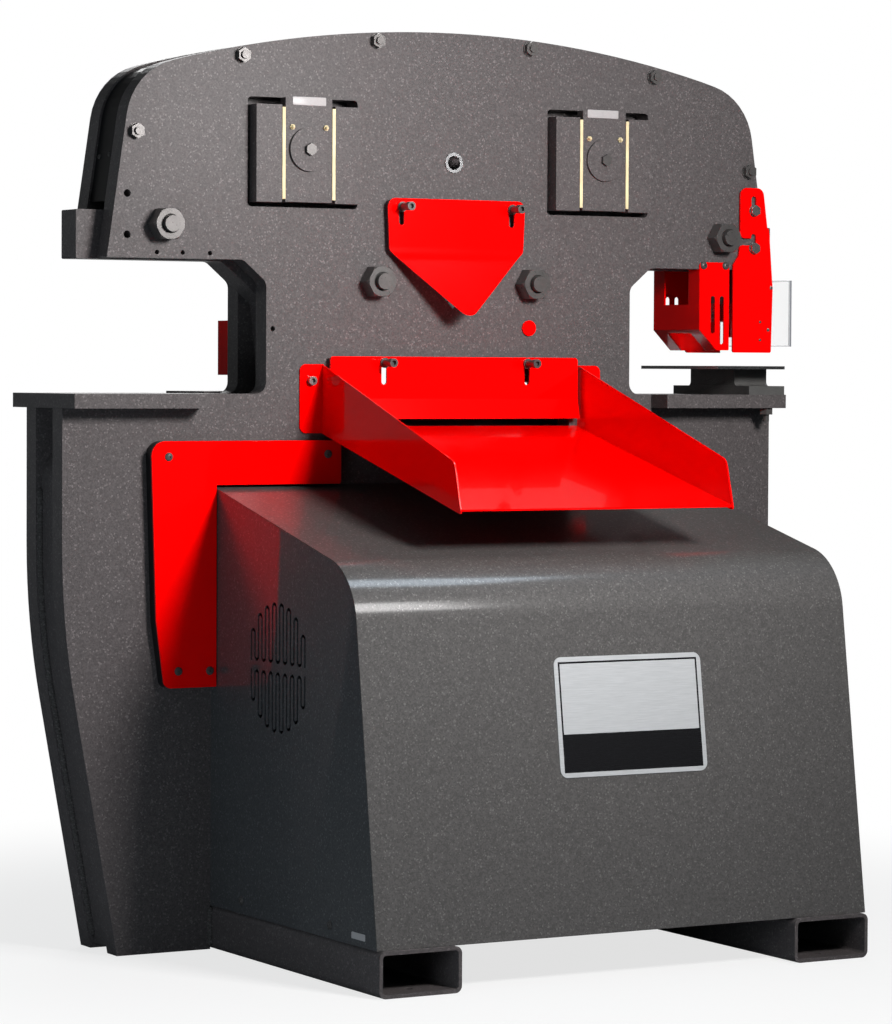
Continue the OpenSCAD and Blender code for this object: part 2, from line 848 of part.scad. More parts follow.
module upper_beam() color(paint) difference() {
    plate_xz(-beam_t / 2, beam_t) difference() {
        outline(concat(beam_half(1), mirrored(beam_half(-1))));
        diamond(angle_half);
        for (p = tie_places) slot2d(p[0], p[1], p[1] + stroke, tie_slot_w);
    }
    plate_xz(blade_y, beam_t) angle_upper_shape();
    plate_xz(blade_y, beam_t) flat_upper_shape();
    both_sides() {
        rod_y(window_x, pin_z, pin_d + shaft_gap, -beam_t, beam_t);
        rod_z(pull_x, 0, pull_d + shaft_gap, lug_z - cut, pull_top);
    }
    rod_z(punch_x, 0, 20, beam_low - cut, beam_low + 40);
}

module pull_rods() color(steel) both_sides() {
    rod_z(pull_x, 0, pull_d, yoke_z[0] - pull_nut_h - 6, pull_top);
    difference() {
        hex_z(pull_x, 0, 56, yoke_z[0] - pull_nut_h, yoke_z[0]);
        rod_z(pull_x, 0, pull_d, yoke_z[0] - pull_nut_h - cut, yoke_z[0] + cut);
    }
}

// Piston, rod and crosshead
module piston_rod() color(steel) {
    rod_z(0, 0, cyl_bore - shaft_gap, piston_z[0], piston_z[1]);
    rod_z(0, 0, rod_d, yoke_z[1] - cut, piston_z[0] + cut);
    difference() {
        box_at([-yoke_half, -half_gap + 3, yoke_z[0]], [yoke_half, half_gap - 3, yoke_z[1]]);
        both_sides() rod_z(pull_x, 0, pull_d + shaft_gap, yoke_z[0] - cut, yoke_z[1] + cut);
    }
}

module cylinder_body() color(dark) difference() {
    union() {
        rod_z(0, 0, cyl_d, cyl_low, cyl_top + cut);
        box_at([-cyl_window[0] / 2 + 1, -face_y + 1, cyl_top], [cyl_window[0] / 2 - 1, face_y - 1, cyl_window[2]]);
        for (z = cyl_ports) rod_y(0, z, port_d, -cyl_d / 2 - 14, -cyl_bore / 2 - 5);
    }
    rod_z(0, 0, cyl_bore, cyl_low + cyl_gland_h, cyl_top - 18);
    rod_z(0, 0, rod_d + shaft_gap, cyl_low - cut, cyl_low + cyl_gland_h + cut);
    for (z = cyl_ports) rod_y(0, z, 10, -cyl_d / 2 - 15, -cyl_bore / 2 + 5);
}

angle_lower_blades();
flat_lower_blade();
angle_upper_blades();
flat_upper_blade();
upper_beam();
pull_rods();
piston_rod();
cylinder_body();

// ---- punch station ----

module die_block() color(dark) difference() {
    union() {
        box_at([punch_x - die_foot[0] / 2, -die_foot[1] / 2, table_z],
               [punch_x + die_foot[0] / 2, die_foot[1] / 2, table_z + die_foot[2]]);
        box_at([punch_x - die_w / 2, -die_l / 2, table_z + die_foot[2] - cut],
               [punch_x + die_w / 2, die_l / 2, support_z]);
        both_faces() profile_yz(punch_x - die_w / 2, die_w) translate([-die_l / 2, table_z + die_foot[2]])
            difference() {
                translate([-die_fillet, -cut]) square([die_fillet + cut, die_fillet + cut]);
                translate([-die_fillet, die_fillet]) circle(r = die_fillet);
            }
    }
    rod_z(punch_x, 0, slug_d, table_z - cut, support_z);
    rod_z(punch_x, 0, die_d + shaft_gap, support_z + support_t - die_insert_h, support_z + cut);
    both_faces() rod_z(foot_bolt_x, foot_bolt_y, foot_bolt_d + shaft_gap, table_z - cut, support_z);
}

module die_insert() color(steel) difference() {
    rod_z(punch_x, 0, die_d, support_z + support_t - die_insert_h, support_z + support_t);
    rod_z(punch_x, 0, punch_d + die_clear, support_z - die_insert_h, support_z + support_t + cut);
}

module die_support_plate() color(steel) difference() {
    box_at([support_x[0], -face_y - table_over - 1, support_z],
           [support_x[1], face_y + table_over + 1, support_z + support_t]);
    rod_z(punch_x, 0, die_d + bolt_gap, support_z - cut, support_z + support_t + cut);
}

module punch_holder() color(dark) {
    rod_z(punch_x, 0, holder_d, beam_low - holder_h, beam_low);
    rod_z(punch_x, 0, neck_d, beam_low - holder_h - neck_h, beam_low - holder_h + cut);
    rod_z(punch_x, 0, 20 - shaft_gap, beam_low - cut, beam_low + 36);
}

module punch_nut() color(steel) difference() {
    z1 = beam_low - holder_h;
    rod_z(punch_x, 0, nut_d, z1 - nut_h, z1);
    rod_z(punch_x, 0, neck_d + shaft_gap, z1 - nut_h + nut_floor, z1 + cut);
    rod_z(punch_x, 0, punch_d + 4, z1 - nut_h - cut, z1);
    for (a = [0:90:270]) translate([punch_x, 0, 0]) rotate(a)
        box_at([nut_d / 2 - 4, -4, z1 - nut_h - cut], [nut_d, 4, z1 - nut_h + 20]);
}

module punch() color(steel) {
    z1 = beam_low - holder_h - neck_h;
    rod_z(punch_x, 0, neck_d - 4, z1 - punch_head_h, z1);
    rod_z(punch_x, 0, punch_d, punch_tip_z, z1 - punch_head_h + cut);
}

// Side of the stripper guard, with two slots to look through
module stripper_side(x1, slot_low) {
    difference() {
        outline([[stripper_x[0] + stripper_cut, stripper_z[0], 0], [x1, stripper_z[0], 2],
                 [x1, stripper_z[1], 8], [stripper_x[0], stripper_z[1], 8],
                 [stripper_x[0], stripper_z[0] + stripper_cut, 0]]);
        slot2d(punch_x - 88, table_z + slot_low[0], table_z + 178, 9.5);
        slot2d(punch_x - 68, table_z + slot_low[1], table_z + 178, 9.5);
        for (x = stripper_screws) translate([x, stripper_screw_z]) circle(d = screw_d);
    }
}

// Folded from one sheet: two sides, an end wall and a slope, both open in the middle
module stripper_guard() color(red) {
    x = stripper_x[0];
    z = stripper_z[0] + stripper_cut;
    plate_xz(-face_y - stripper_t, stripper_t) stripper_side(stripper_x[1], [118, 98]);
    plate_xz(face_y, stripper_t) stripper_side(side_x0 - 1.2, [140, 140]);
    difference() {
        plate_xz(-face_y - cut, 2 * (face_y + cut))
            polygon([[x, arm_z - 0.5], [x, z], [x + stripper_cut, stripper_z[0]],
                     [x + stripper_cut + stripper_t, stripper_z[0]],
                     [x + stripper_t, z + 1.5], [x + stripper_t, arm_z - 0.5]]);
        box_at([x - cut, -stripper_gap, arm_z - 65], [x + 10, stripper_gap, arm_z + cut]);
        profile_yz(x - cut, stripper_cut + 10) translate([0, stripper_z[0] - 30])
            round_rect(2 * stripper_gap, stripper_cut + 24, 8);
    }
}

// Side guard with a narrow tab above a notch that runs into the lower slot
module side_guard_shape() {
    difference() {
        outline([[side_x0, side_z0, 4], [punch_x + 41, side_z0, 4], [punch_x + 44, arm_z - 35, 10],
                 [punch_x + 35, arm_z + 77, 0], [punch_x + 31, arm_z + 79, 0],
                 [punch_x + 21, arm_z + 153, 15], [punch_x - 30, arm_z + 153, 15],
                 [punch_x - 30, arm_z + 59, 10], [punch_x - 4, arm_z + 59, 0],
                 [punch_x - 4, arm_z + 46, 0], [punch_x - 30, arm_z + 46, 6],
                 [punch_x - 33, arm_z + 27, 8], [side_x0, arm_z + 9, 6]]);
        for (z = side_bolt_z) slot2d(punch_x, z, z + side_travel, side_bolt_d + bolt_gap);
    }
}

// The rear guard is narrower beside the clear shield
module punch_side_guards() color(red) {
    plate_xz(-side_y - guard_t, guard_t) side_guard_shape();
    plate_xz(side_y, guard_t) difference() {
        side_guard_shape();
        translate([punch_x + 33, side_z0 - cut]) square([20, shield_z[1] - side_z0]);
    }
}

// Clear shield: an end wall between two legs behind the side guards
module clear_end_shield() color("lightcyan", 0.3) {
    box_at([shield_x - shield_t, -side_y, shield_z[0]], [shield_x, side_y, shield_z[1]]);
    both_faces()
        box_at([punch_x + 26, -side_y, shield_z[0]], [shield_x, -side_y + shield_t, shield_z[1]]);
}

die_block();
die_insert();
die_support_plate();
punch_holder();
punch_nut();
punch();
stripper_guard();
punch_side_guards();
clear_end_shield();

// ---- guards at the shears ----

// Sheet bent outwards below z0, as a closed profile in the YZ plane
module bent_profile(top, z0, angle, low, r) {
    out = (z0 - low) * tan(angle);
    t = guard_t;
    k = t * tan(angle / 2);
    outline([[guard_y, top, 0], [guard_y, z0 + k, r], [guard_y - out, low + k, 0],
             [guard_y - out + t * cos(angle), low + k - t * sin(angle), 0],
             [guard_y + t, z0, r + t], [guard_y + t, top, 0]]);
}

module angle_shear_guard() color(red) intersection() {
    profile_yz(-200, 400) bent_profile(angle_guard_top, angle_guard_bend_z, angle_guard_bend, angle_guard_tip - 20, 60);
    plate_xz(guard_y - 100, 140) difference() {
        outline([[-angle_guard_half, angle_guard_top, 15], [angle_guard_half, angle_guard_top, 15],
                 [angle_guard_half - 4, angle_z + 12, 12], [0, angle_guard_tip, 22],
                 [-angle_guard_half + 4, angle_z + 12, 12]]);
        both_sides() slot2d(angle_slot_x, angle_slot_z[0], angle_slot_z[1], slot_w);
    }
}

module flat_shear_guard() color(red) intersection() {
    profile_yz(-300, 600) bent_profile(flat_guard_z[1], flat_guard_z[0] + 35, atan(flat_guard_kick / 35), flat_guard_z[0], 10);
    plate_xz(guard_y - 40, 80) difference() {
        outline([[-flat_guard_half, flat_guard_z[1], 6], [flat_guard_half, flat_guard_z[1], 6],
                 [flat_guard_half, flat_guard_z[0], 2], [-flat_guard_half, flat_guard_z[0], 2]]);
        both_sides() slot2d(flat_slot_x, flat_slot_z[0], flat_slot_z[1], slot_w);
    }
}

// Turned standoff: base behind the guard, collar and socket head in front of it
module standoff(x, z) {
    difference() {
        union() {
            rod_y(x, z, standoff_d, -face_y - standoff_reach, -face_y + 18);
            rod_y(x, z, standoff_base_d, guard_y + guard_t + run_gap, -face_y);
            rod_y(x, z, standoff_collar_d, guard_y - run_gap - 4, guard_y - run_gap);
            rod_y(x, z, standoff_d + 4, -face_y - standoff_reach, guard_y - run_gap);
            rod_y(x, z, standoff_base_d, -face_y - standoff_reach, -face_y - standoff_reach + 11);
        }
        hex_y(x, z, 8, -face_y - standoff_reach - cut, -face_y - standoff_reach + 6);
    }
}

module guard_standoffs() color(steel) both_sides() {
    standoff(angle_slot_x, angle_slot_z[1]);
    standoff(flat_slot_x, flat_slot_z[1]);
}

// Drop tray: one folded sheet with two walls and two flanges
module drop_tray() color(red) {
    y1 = -face_y;
    reach = tray_reach / cos(tray_slope) + 8;
    both_sides() {
        intersection() {
            profile_yz(tray_half - 2 * tray_t, 2 * tray_t + tray_splay)
                outline([[y1, tray_top, 0], [y1, tray_low, 0], [y1 - tray_reach, tray_front_low, 4],
                         [y1 - tray_reach + 24, tray_front_top, 20]]);
            linear_extrude(crown_z)
                polygon([[tray_half - tray_t, y1], [tray_half, y1], [tray_half + tray_splay, y1 - tray_reach],
                         [tray_half + tray_splay - tray_t, y1 - tray_reach]]);
        }
        difference() {
            plate_xz(y1 - tray_t, tray_t)
                outline([[tray_half - tray_t, tray_low, 0], [tray_half + tray_flange, tray_low, 12],
                         [tray_half + tray_flange, tray_top, 12], [tray_half - tray_t, tray_top, 0]]);
            rod_y(tray_bolt[0], tray_bolt[1], standoff_d + bolt_gap, y1 - 10, y1 + cut);
        }
    }
    intersection() {
        translate([0, y1, tray_floor]) rotate([tray_slope, 0, 0])
            box_at([-tray_half - tray_splay, -reach, -tray_t], [tray_half + tray_splay, 20, 0]);
        linear_extrude(crown_z)
            polygon([[-tray_half + 1, y1], [tray_half - 1, y1],
                     [tray_half - 1 + tray_splay, y1 - tray_reach + 1],
                     [-tray_half + 1 - tray_splay, y1 - tray_reach + 1]]);
    }
}

// Socket screws of the tray and hex bolts in the slots of the side guards
module guard_bolts() color(steel) {
    both_sides() difference() {
        union() {
            rod_y(tray_bolt[0], tray_bolt[1], 16, -face_y - tray_t - 9, -face_y - tray_t);
            rod_y(tray_bolt[0], tray_bolt[1], standoff_d, -face_y - tray_t - cut, -face_y + 18);
        }
        hex_y(tray_bolt[0], tray_bolt[1], 8, -face_y - tray_t - 10, -face_y - tray_t - 4);
    }
    both_faces() for (z = side_bolt_z) {
        hex_bolt_y(punch_x, z, -side_y - guard_t - run_gap, side_bolt_d, side_bolt_af, 30);
        rod_y(punch_x, z, side_bolt_d + 8, -side_y + run_gap, -face_y);
    }
}

angle_shear_guard();
flat_shear_guard();
guard_standoffs();
drop_tray();
guard_bolts();

// ---- face plate left of the hood ----

module face_plate_shape() {
    x0 = face_plate_x[0];
    x1 = -hood_half - 1.5;
    difference() {
        outline([[x0, face_plate_z[2], 25], [face_plate_x[1], face_plate_z[2], 8],
                 [face_plate_x[1], face_plate_z[1], 4], [x1, face_plate_z[1], 0],
                 [x1, face_plate_z[0], 2], [x0 + 26, face_plate_z[0], 14],
                 [x0 + 10, face_plate_z[0] + 117, 60]]);
        for (p = face_screws) translate(p) circle(d = screw_d);
    }
}

module left_face_plate() color(red) plate_xz(-face_y - backing_t - guard_t, guard_t) face_plate_shape();

module left_backing_plate() color(dark) plate_xz(-face_y - backing_t, backing_t) face_plate_shape();

module button_screws() color(dark) {
    for (p = face_screws) screw_y(p[0], p[1], -face_y - backing_t - guard_t, backing_t + guard_t + 10);
    both_faces() for (x = stripper_screws) screw_y(x, stripper_screw_z, -face_y - stripper_t, 15);
    both_sides() mirror([0, 1, 0]) {
        for (p = rear_screws) screw_y(p[0], p[1], -face_y - sheet_t, 13);
        for (p = cover_screws) screw_y(p[0], p[1], -face_y - sheet_t, 13);
    }
    both_sides() for (y = hood_screw_y) {
        translate([hood_half, y, hood_screw_z]) rotate([0, 90, 0]) button_head();
        rod_x(y, hood_screw_z, screw_d - 1, hood_half - 10, hood_half + 0.5);
    }
}

left_face_plate();
left_backing_plate();
button_screws();

// ---- hood ----

// Hood profile in the YZ plane, d inside its outer face
function hood_profile(d) = let (
    top = hood_h - d / cos(hood_slope), front = hood_d - d / cos(hood_lean),
    ts = tan(hood_slope), tl = tan(hood_lean),
    z = (top - ts * (front + tube_h * tl)) / (1 - ts * tl), reach = front - (z - tube_h) * tl)
    [[-face_y, tube_h, 0], [-face_y, top, 0], [-face_y - reach, z, hood_r - d], [-face_y - front, tube_h, 0]];

module hood_cover() color(paint) profile_yz(-hood_half, hood_w) difference() {
    outline(hood_profile(0));
    difference() {
        translate([-face_y - hood_d, 0]) square([hood_d + cut, hood_h]);
        difference() {
            outline(hood_profile(0));
            outline(hood_profile(hood_t));
            translate([-face_y - hood_d + 10, 0]) square([hood_d, tube_h + 5]);
        }
    }
}

// One half of the vent: upright runs joined by loops at both ends
module vent_half() {
    r = vent_pitch / 2;
    for (i = [0:vent_runs - 1]) {
        y = (i - (vent_runs - 1) / 2) * vent_pitch;
        pair = (floor(i / 2) * 2 + 0.5 - (vent_runs - 1) / 2) * vent_pitch;
        top = sqrt(pow(vent_d / 2, 2) - pow(pair, 2)) - r - vent_slot / 2;
        edge = i == 0 || i == vent_runs - 1;
        low = vent_bridge / 2 + (edge ? 0 : r + vent_slot / 2);
        translate([y - vent_slot / 2, low]) square([vent_slot, top - low]);
        if (i % 2 == 0) translate([y + r, top]) half_ring(r, 1);
        if (i % 2 == 1 && !edge) translate([y + r, low]) half_ring(r, -1);
    }
}

module half_ring(r, s) {
    difference() {
        circle(r = r + vent_slot / 2, $fn = 32);
        circle(r = r - vent_slot / 2, $fn = 32);
        translate([-2 * r, s > 0 ? -3 * r : 0]) square([4 * r, 3 * r]);
    }
}

module hood_side(vented) {
    difference() {
        profile_yz(hood_half - hood_t, hood_t) difference() {
            outline(hood_profile(hood_t));
            if (vented) translate([vent_y, vent_z]) {
                vent_half();
                mirror([0, 1]) vent_half();
            }
        }
        for (y = hood_screw_y) rod_x(y, hood_screw_z, screw_d, hood_half - 10, hood_half + cut);
    }
}

module hood_side_left() color(paint) mirror([1, 0, 0]) hood_side(true);

module hood_side_right() color(paint) hood_side(true);

// Frame of the hood's leaning front: Z runs up the face, -Y points out of it
module on_hood_front() {
    translate([0, -face_y - hood_d, tube_h]) rotate([-hood_lean, 0, 0]) children();
}

module badge_plate() color(steel) on_hood_front()
    translate([badge_at[0], 0, (badge_at[1] - tube_h) / cos(hood_lean) - badge[1] / 2])
        plate_xz(-badge[2], badge[2]) round_rect(badge[0], badge[1], 14);

hood_cover();
hood_side_left();
hood_side_right();
badge_plate();

// ---- power unit ----

module oil_tank() color(dark) {
    box_at([-tank[0] / 2, tank_y, tube_h], [tank[0] / 2, tank_y + tank[1], tank_top]);
    rod_z(tank[0] / 2 - 60, tank_y + 80, 60, tank_top - cut, tank_top + 34);
}

// Motor with feet, fan cowl and terminal box
module motor() color("slategray") difference() {
    union() {
        rod_x(axis_y, axis_z, motor_d, motor_x[0] + 60, motor_x[1] - 12);
        rod_x(axis_y, axis_z, motor_d - 12, motor_x[0], motor_x[1]);
        for (a = [30:30:330]) translate([motor_x[0] + 60, axis_y, axis_z]) rotate([a, 0, 0])
            box_at([0, -2, 0], [150, 2, motor_d / 2 + 8]);
        box_at([motor_x[0] + 70, axis_y - 80, tank_top], [motor_x[1] - 30, axis_y + 80, tank_top + 14]);
        both_feet() box_at([motor_x[0] + 80, axis_y + 50, tank_top], [motor_x[1] - 40, axis_y + 70, axis_z - 30]);
        box_at([motor_x[0] + 90, axis_y - 45, axis_z + 60], [motor_x[1] - 60, axis_y + 45, axis_z + motor_d / 2 + 40]);
    }
    rod_x(axis_y, axis_z, shaft_d + shaft_gap, motor_x[1] - 37, motor_x[1] + cut);
}

// The children on both sides of the motor's axis
module both_feet() {
    children();
    translate([0, 2 * axis_y, 0]) mirror([0, 1, 0]) children();
}

module pump() color("gray") difference() {
    union() {
        box_at([pump_x[0] + 14, axis_y - pump_w / 2, axis_z - pump_w / 2],
               [pump_x[1], axis_y + pump_w / 2, axis_z + pump_w / 2]);
        rod_x(axis_y, axis_z, pump_w - 20, pump_x[0], pump_x[0] + 15);
        box_at([pump_x[0] + 24, axis_y - 30, tank_top], [pump_x[1] - 10, axis_y + 30, axis_z - pump_w / 2 + cut]);
    }
    rod_x(axis_y, axis_z, shaft_d + shaft_gap, pump_x[0] - cut, pump_x[0] + 28);
}

module drive_shaft() color(steel) {
    rod_x(axis_y, axis_z, shaft_d, motor_x[1] - 35, pump_x[0] + 26);
    rod_x(axis_y, axis_z, coupling_d, motor_x[1] + 13, motor_x[1] + 33);
    rod_x(axis_y, axis_z, coupling_d - 6, motor_x[1] + 32, motor_x[1] + 37);
    rod_x(axis_y, axis_z, coupling_d, motor_x[1] + 36, motor_x[1] + 56);
}

module valve_block() color("gray") {
    box_at([valve_x, valve_y, tank_top], [valve_x + valve[0], valve_y + valve[1], tank_top + valve[2]]);
    for (y = [30, 80]) rod_x(valve_y + y, tank_top + 60, 36, valve_x + valve[0] - cut, valve_x + valve[0] + 70);
}

// Pipe through a list of points
module pipe(p) {
    for (i = [1:len(p) - 1]) bar(p[i - 1], p[i], pipe_d);
    for (i = [1:len(p) - 2]) translate(p[i]) sphere(d = pipe_d, $fn = 32);
}

module hydraulic_pipes() color(steel) {
    top = tank_top + valve[2];
    end_y = -cyl_d / 2 - 14;
    y1 = valve_y + 60;
    y2 = valve_y + 95;
    pipe([[valve_x + 30, y1, top], [valve_x + 30, y1, cyl_ports[1]], [0, y1, cyl_ports[1]], [0, end_y, cyl_ports[1]]]);
    pipe([[valve_x + 90, y2, top], [valve_x + 90, y2, cyl_ports[0]], [0, y2, cyl_ports[0]], [0, end_y, cyl_ports[0]]]);
    pipe([[-20, axis_y, axis_z + pump_w / 2], [-20, axis_y, axis_z + 132], [valve_x + 60, axis_y, axis_z + 132],
          [valve_x + 60, valve_y + 25, axis_z + 132], [valve_x + 60, valve_y + 25, top]]);
}

oil_tank();
motor();
pump();
drive_shaft();
valve_block();
hydraulic_pipes();

// ---- control box ----

module control_box() color(dark) difference() {
    union() {
        translate([hood_half, box_y, box_z]) rotate([90, 0, 90]) linear_extrude(box_size[0])
            translate([box_size[1] / 2, 0]) round_rect(box_size[1], box_size[2], 6);
        rod_z(hood_half + 22, box_y + box_size[1] / 2, 22, box_z - 18, box_z + cut);
    }
    for (z = [start_z, stop_z])
        rod_x(box_y + box_size[1] / 2, z, button_d + 2 * run_gap, hood_half + box_size[0] - 14, hood_half + box_size[0] + cut);
    rod_z(hood_half + 22, box_y + box_size[1] / 2, 12, box_z - 19, box_z - 4);
}

module start_button() color("green")
    rod_x(box_y + box_size[1] / 2, start_z, button_d, hood_half + box_size[0] - 8, hood_half + box_size[0] + 6);

module stop_button() color(red) {
    x = hood_half + box_size[0];
    rod_x(box_y + box_size[1] / 2, stop_z, button_d, x - 8, x + 7);
    rod_x(box_y + box_size[1] / 2, stop_z, 40, x + 6, x + 16);
}

control_box();
start_button();
stop_button();

// ---- rear side ----

// Guard round the infeed of the flat shear, open below for the stock
module rear_guard() color(red) {
    y = face_y + rear_guard_d;
    both_sides() {
        box_at([rear_guard_x - sheet_t, face_y, rear_guard_z[0]], [rear_guard_x, y, rear_guard_z[2]]);
        difference() {
            box_at([rear_guard_x - 30, face_y, rear_guard_z[1]],
                   [rear_guard_x, face_y + sheet_t, rear_guard_z[2]]);
            for (p = rear_screws) rod_y(p[0], p[1], screw_d, face_y - cut, face_y + 10);
        }
    }
    box_at([-rear_guard_x, y - sheet_t, rear_guard_z[1]], [rear_guard_x, y, rear_guard_z[2]]);
}

// Feed table: a sheet with a folded lip on two brackets
module feed_table() color(paint) {
    y = face_y + feed[1];
    box_at([-feed[0] / 2, face_y, flat_z - feed[2]], [feed[0] / 2, y, flat_z]);
    box_at([-feed[0] / 2, y - feed[2], flat_z - 30], [feed[0] / 2, y, flat_z]);
    both_sides() profile_yz(300, 8)
        polygon([[face_y, flat_z - 2], [y - 20, flat_z - 2], [y - 20, flat_z - 20], [face_y, flat_z - 110]]);
}

module rear_access_cover() color(paint) difference() {
    plate_xz(face_y, sheet_t)
        outline([[-cover_x, cover_z[0], 8], [cover_x, cover_z[0], 8], [cover_x, cover_z[1], 8], [-cover_x, cover_z[1], 8]]);
    both_sides() for (p = cover_screws) rod_y(p[0], p[1], screw_d, face_y - cut, face_y + 10);
}

// Hold-downs: a block on the rear plate with a jack screw through it
module hold_down(x, z) {
    difference() {
        box_at([x - 28, face_y, z], [x + 28, face_y + 48, z + 42]);
        rod_z(x, face_y + 26, hold_d + shaft_gap, z - cut, z + 43);
    }
    rod_z(x, face_y + 26, hold_d, z - 24, z + 66);
    hex_z(x, face_y + 26, 30, z + 54, z + 67);
}

module hold_downs() color(dark) {
    both_sides() hold_down(flat_hold_x, table_z + 66);
    hold_down(0, angle_z + angle_half + 12);
}

rear_guard();
feed_table();
rear_access_cover();
hold_downs();
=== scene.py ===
# %% [markdown]
# # A hydraulic ironworker: looks for a machine whose shape is already fixed
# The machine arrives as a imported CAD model. Its sizes and its moving bodies are settled,
# so this lesson only adds a camera, a small studio, finishes and the fine details that
# a CAD model leaves out: weld beads, bare label plates and the panels of the badge.
# Everything is in metres, with +Z up and the hood towards -Y.

# %% Load the machine
import json
import math

import bpy
import numpy as np
from mathutils import Matrix, Vector


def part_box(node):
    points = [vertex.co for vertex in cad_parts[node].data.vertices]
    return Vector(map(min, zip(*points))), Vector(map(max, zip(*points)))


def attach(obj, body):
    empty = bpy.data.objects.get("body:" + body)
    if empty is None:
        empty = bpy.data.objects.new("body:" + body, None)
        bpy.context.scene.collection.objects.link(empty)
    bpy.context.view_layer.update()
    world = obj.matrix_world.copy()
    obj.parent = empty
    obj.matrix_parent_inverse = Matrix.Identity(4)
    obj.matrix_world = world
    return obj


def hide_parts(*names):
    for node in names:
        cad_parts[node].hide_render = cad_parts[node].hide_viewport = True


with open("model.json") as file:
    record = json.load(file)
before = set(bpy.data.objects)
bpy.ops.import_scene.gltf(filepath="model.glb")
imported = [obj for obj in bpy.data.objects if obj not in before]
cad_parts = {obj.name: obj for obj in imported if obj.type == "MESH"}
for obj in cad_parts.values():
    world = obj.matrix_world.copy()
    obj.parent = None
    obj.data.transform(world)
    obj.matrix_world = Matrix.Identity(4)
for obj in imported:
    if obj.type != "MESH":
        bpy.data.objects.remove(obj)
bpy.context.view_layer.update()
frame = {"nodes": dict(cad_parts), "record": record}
nodes = frame["nodes"]

# %% [markdown]
# ## The camera
# A long lens from several metres away keeps the upright edges nearly parallel, as in a
# catalogue picture. The direction comes from a yaw, a pitch and a slight roll, and the
# three axes of the camera are worked out from them, so that no Euler order can go wrong.

# %% Place the camera
EYE = Vector((-3.4114, -6.0187, 1.0057))
YAW, PITCH, ROLL = (math.radians(a) for a in (29.766, -2.121, 0.289))
SENSOR_MM, LENS_MM = 36, 154.65

forward = Vector((math.sin(YAW) * math.cos(PITCH), math.cos(YAW) * math.cos(PITCH),
                  math.sin(PITCH)))
level_right = forward.cross(Vector((0, 0, 1))).normalized()
level_up = level_right.cross(forward)
right = math.cos(ROLL) * level_right + math.sin(ROLL) * level_up
up = math.cos(ROLL) * level_up - math.sin(ROLL) * level_right

camera = bpy.data.objects.new("camera", bpy.data.cameras.new("camera"))
camera.data.sensor_fit = "HORIZONTAL"
camera.data.sensor_width, camera.data.lens = SENSOR_MM, LENS_MM
turned = Matrix((right, up, -forward)).transposed().to_4x4()
camera.matrix_world = Matrix.Translation(EYE) @ turned
bpy.context.scene.collection.objects.link(camera)
bpy.context.scene.camera = camera
print("camera looks along", [round(v, 3) for v in forward])

# %% [markdown]
# ## Shader maths as Python
# A node tree is easier to read as an expression. `Wire` wraps one output socket. Sums and
# products of wires add Math nodes, and `node` adds any other node: its settings are set
# first, because they decide which sockets it has, and then its sockets get values or links.

# %% The Wire class
def math_node(operation):
    """A method that joins two values by one Math operation."""
    def method(self, other=0.0):
        return self.node("ShaderNodeMath", {"operation": operation}, {0: self, 1: other})
    return method


def reflected(operation):
    """The same with the plain number on the left, as in 1 - mask."""
    def method(self, other):
        return self.node("ShaderNodeMath", {"operation": operation}, {0: other, 1: self})
    return method


class Wire:
    """One output socket in a node tree."""

    def __init__(self, tree, socket=None):
        self.tree, self.socket = tree, socket

    def node(self, kind, settings=(), inputs=(), out=0):
        """Adds a node: settings first, then socket values or links; gives output out."""
        made = self.tree.nodes.new(kind)
        for key, value in dict(settings).items():
            setattr(made, key, value)
        for key, value in dict(inputs).items():
            if isinstance(value, Wire):
                self.tree.links.new(value.socket, made.inputs[key])
            else:
                made.inputs[key].default_value = value
        return Wire(self.tree, made.outputs[out]) if len(made.outputs) else None

    __add__, __radd__ = math_node("ADD"), reflected("ADD")
    __sub__, __rsub__ = math_node("SUBTRACT"), reflected("SUBTRACT")
    __mul__, __rmul__ = math_node("MULTIPLY"), reflected("MULTIPLY")
    __gt__, __lt__ = math_node("GREATER_THAN"), math_node("LESS_THAN")
    smaller, size = math_node("MINIMUM"), math_node("ABSOLUTE")

    def clip(self):
        """The value held between 0 and 1."""
        return self.node("ShaderNodeClamp", {}, {"Value": self})

    def step(self, low, high):
        """A smooth rise from 0 at low to 1 at high."""
        return self.node("ShaderNodeMapRange", {"interpolation_type": "SMOOTHSTEP"},
                         {"Value": self, "From Min": low, "From Max": high})

    def mix(self, first, second):
        """Colour first where this wire is 0, second where it is 1."""
        return self.node("ShaderNodeMix", {"data_type": "RGBA"}, {0: self, 6: first, 7: second}, 2)

    def noise(self, scale, detail=2.0, rough=0.5):
        """Noise over this position, about scale bumps per metre."""
        return self.node("ShaderNodeTexNoise", {},
                         {"Vector": self, "Scale": scale, "Detail": detail, "Roughness": rough})

    def stretched(self, factors):
        """This position multiplied along X, Y and Z."""
        return self.node("ShaderNodeVectorMath", {"operation": "MULTIPLY"}, {0: self, 1: factors})

    def axis(self, index):
        """The X, Y or Z part of this position."""
        return self.node("ShaderNodeSeparateXYZ", {}, {0: self}, index)

    def rays(self):
        """Three masks: 1 for rays from the camera, off a gloss, and through glass."""
        return [self.node("ShaderNodeLightPath", {}, {}, f"Is {kind} Ray")
                for kind in ("Camera", "Glossy", "Transmission")]


def srgb(r, g, b):
    """A colour given as 0 to 255 display values, as the linear colour that shaders use."""
    c = np.array([r, g, b]) / 255
    linear = np.where(c <= 0.04045, c / 12.92, ((c + 0.055) / 1.055) ** 2.4)
    return (*(float(v) for v in linear), 1.0)


def toned(colour, factor):
    """The colour made darker or lighter by a factor, each part held to 1."""
    return [min(1.0, c * factor) for c in colour[:3]] + [1]


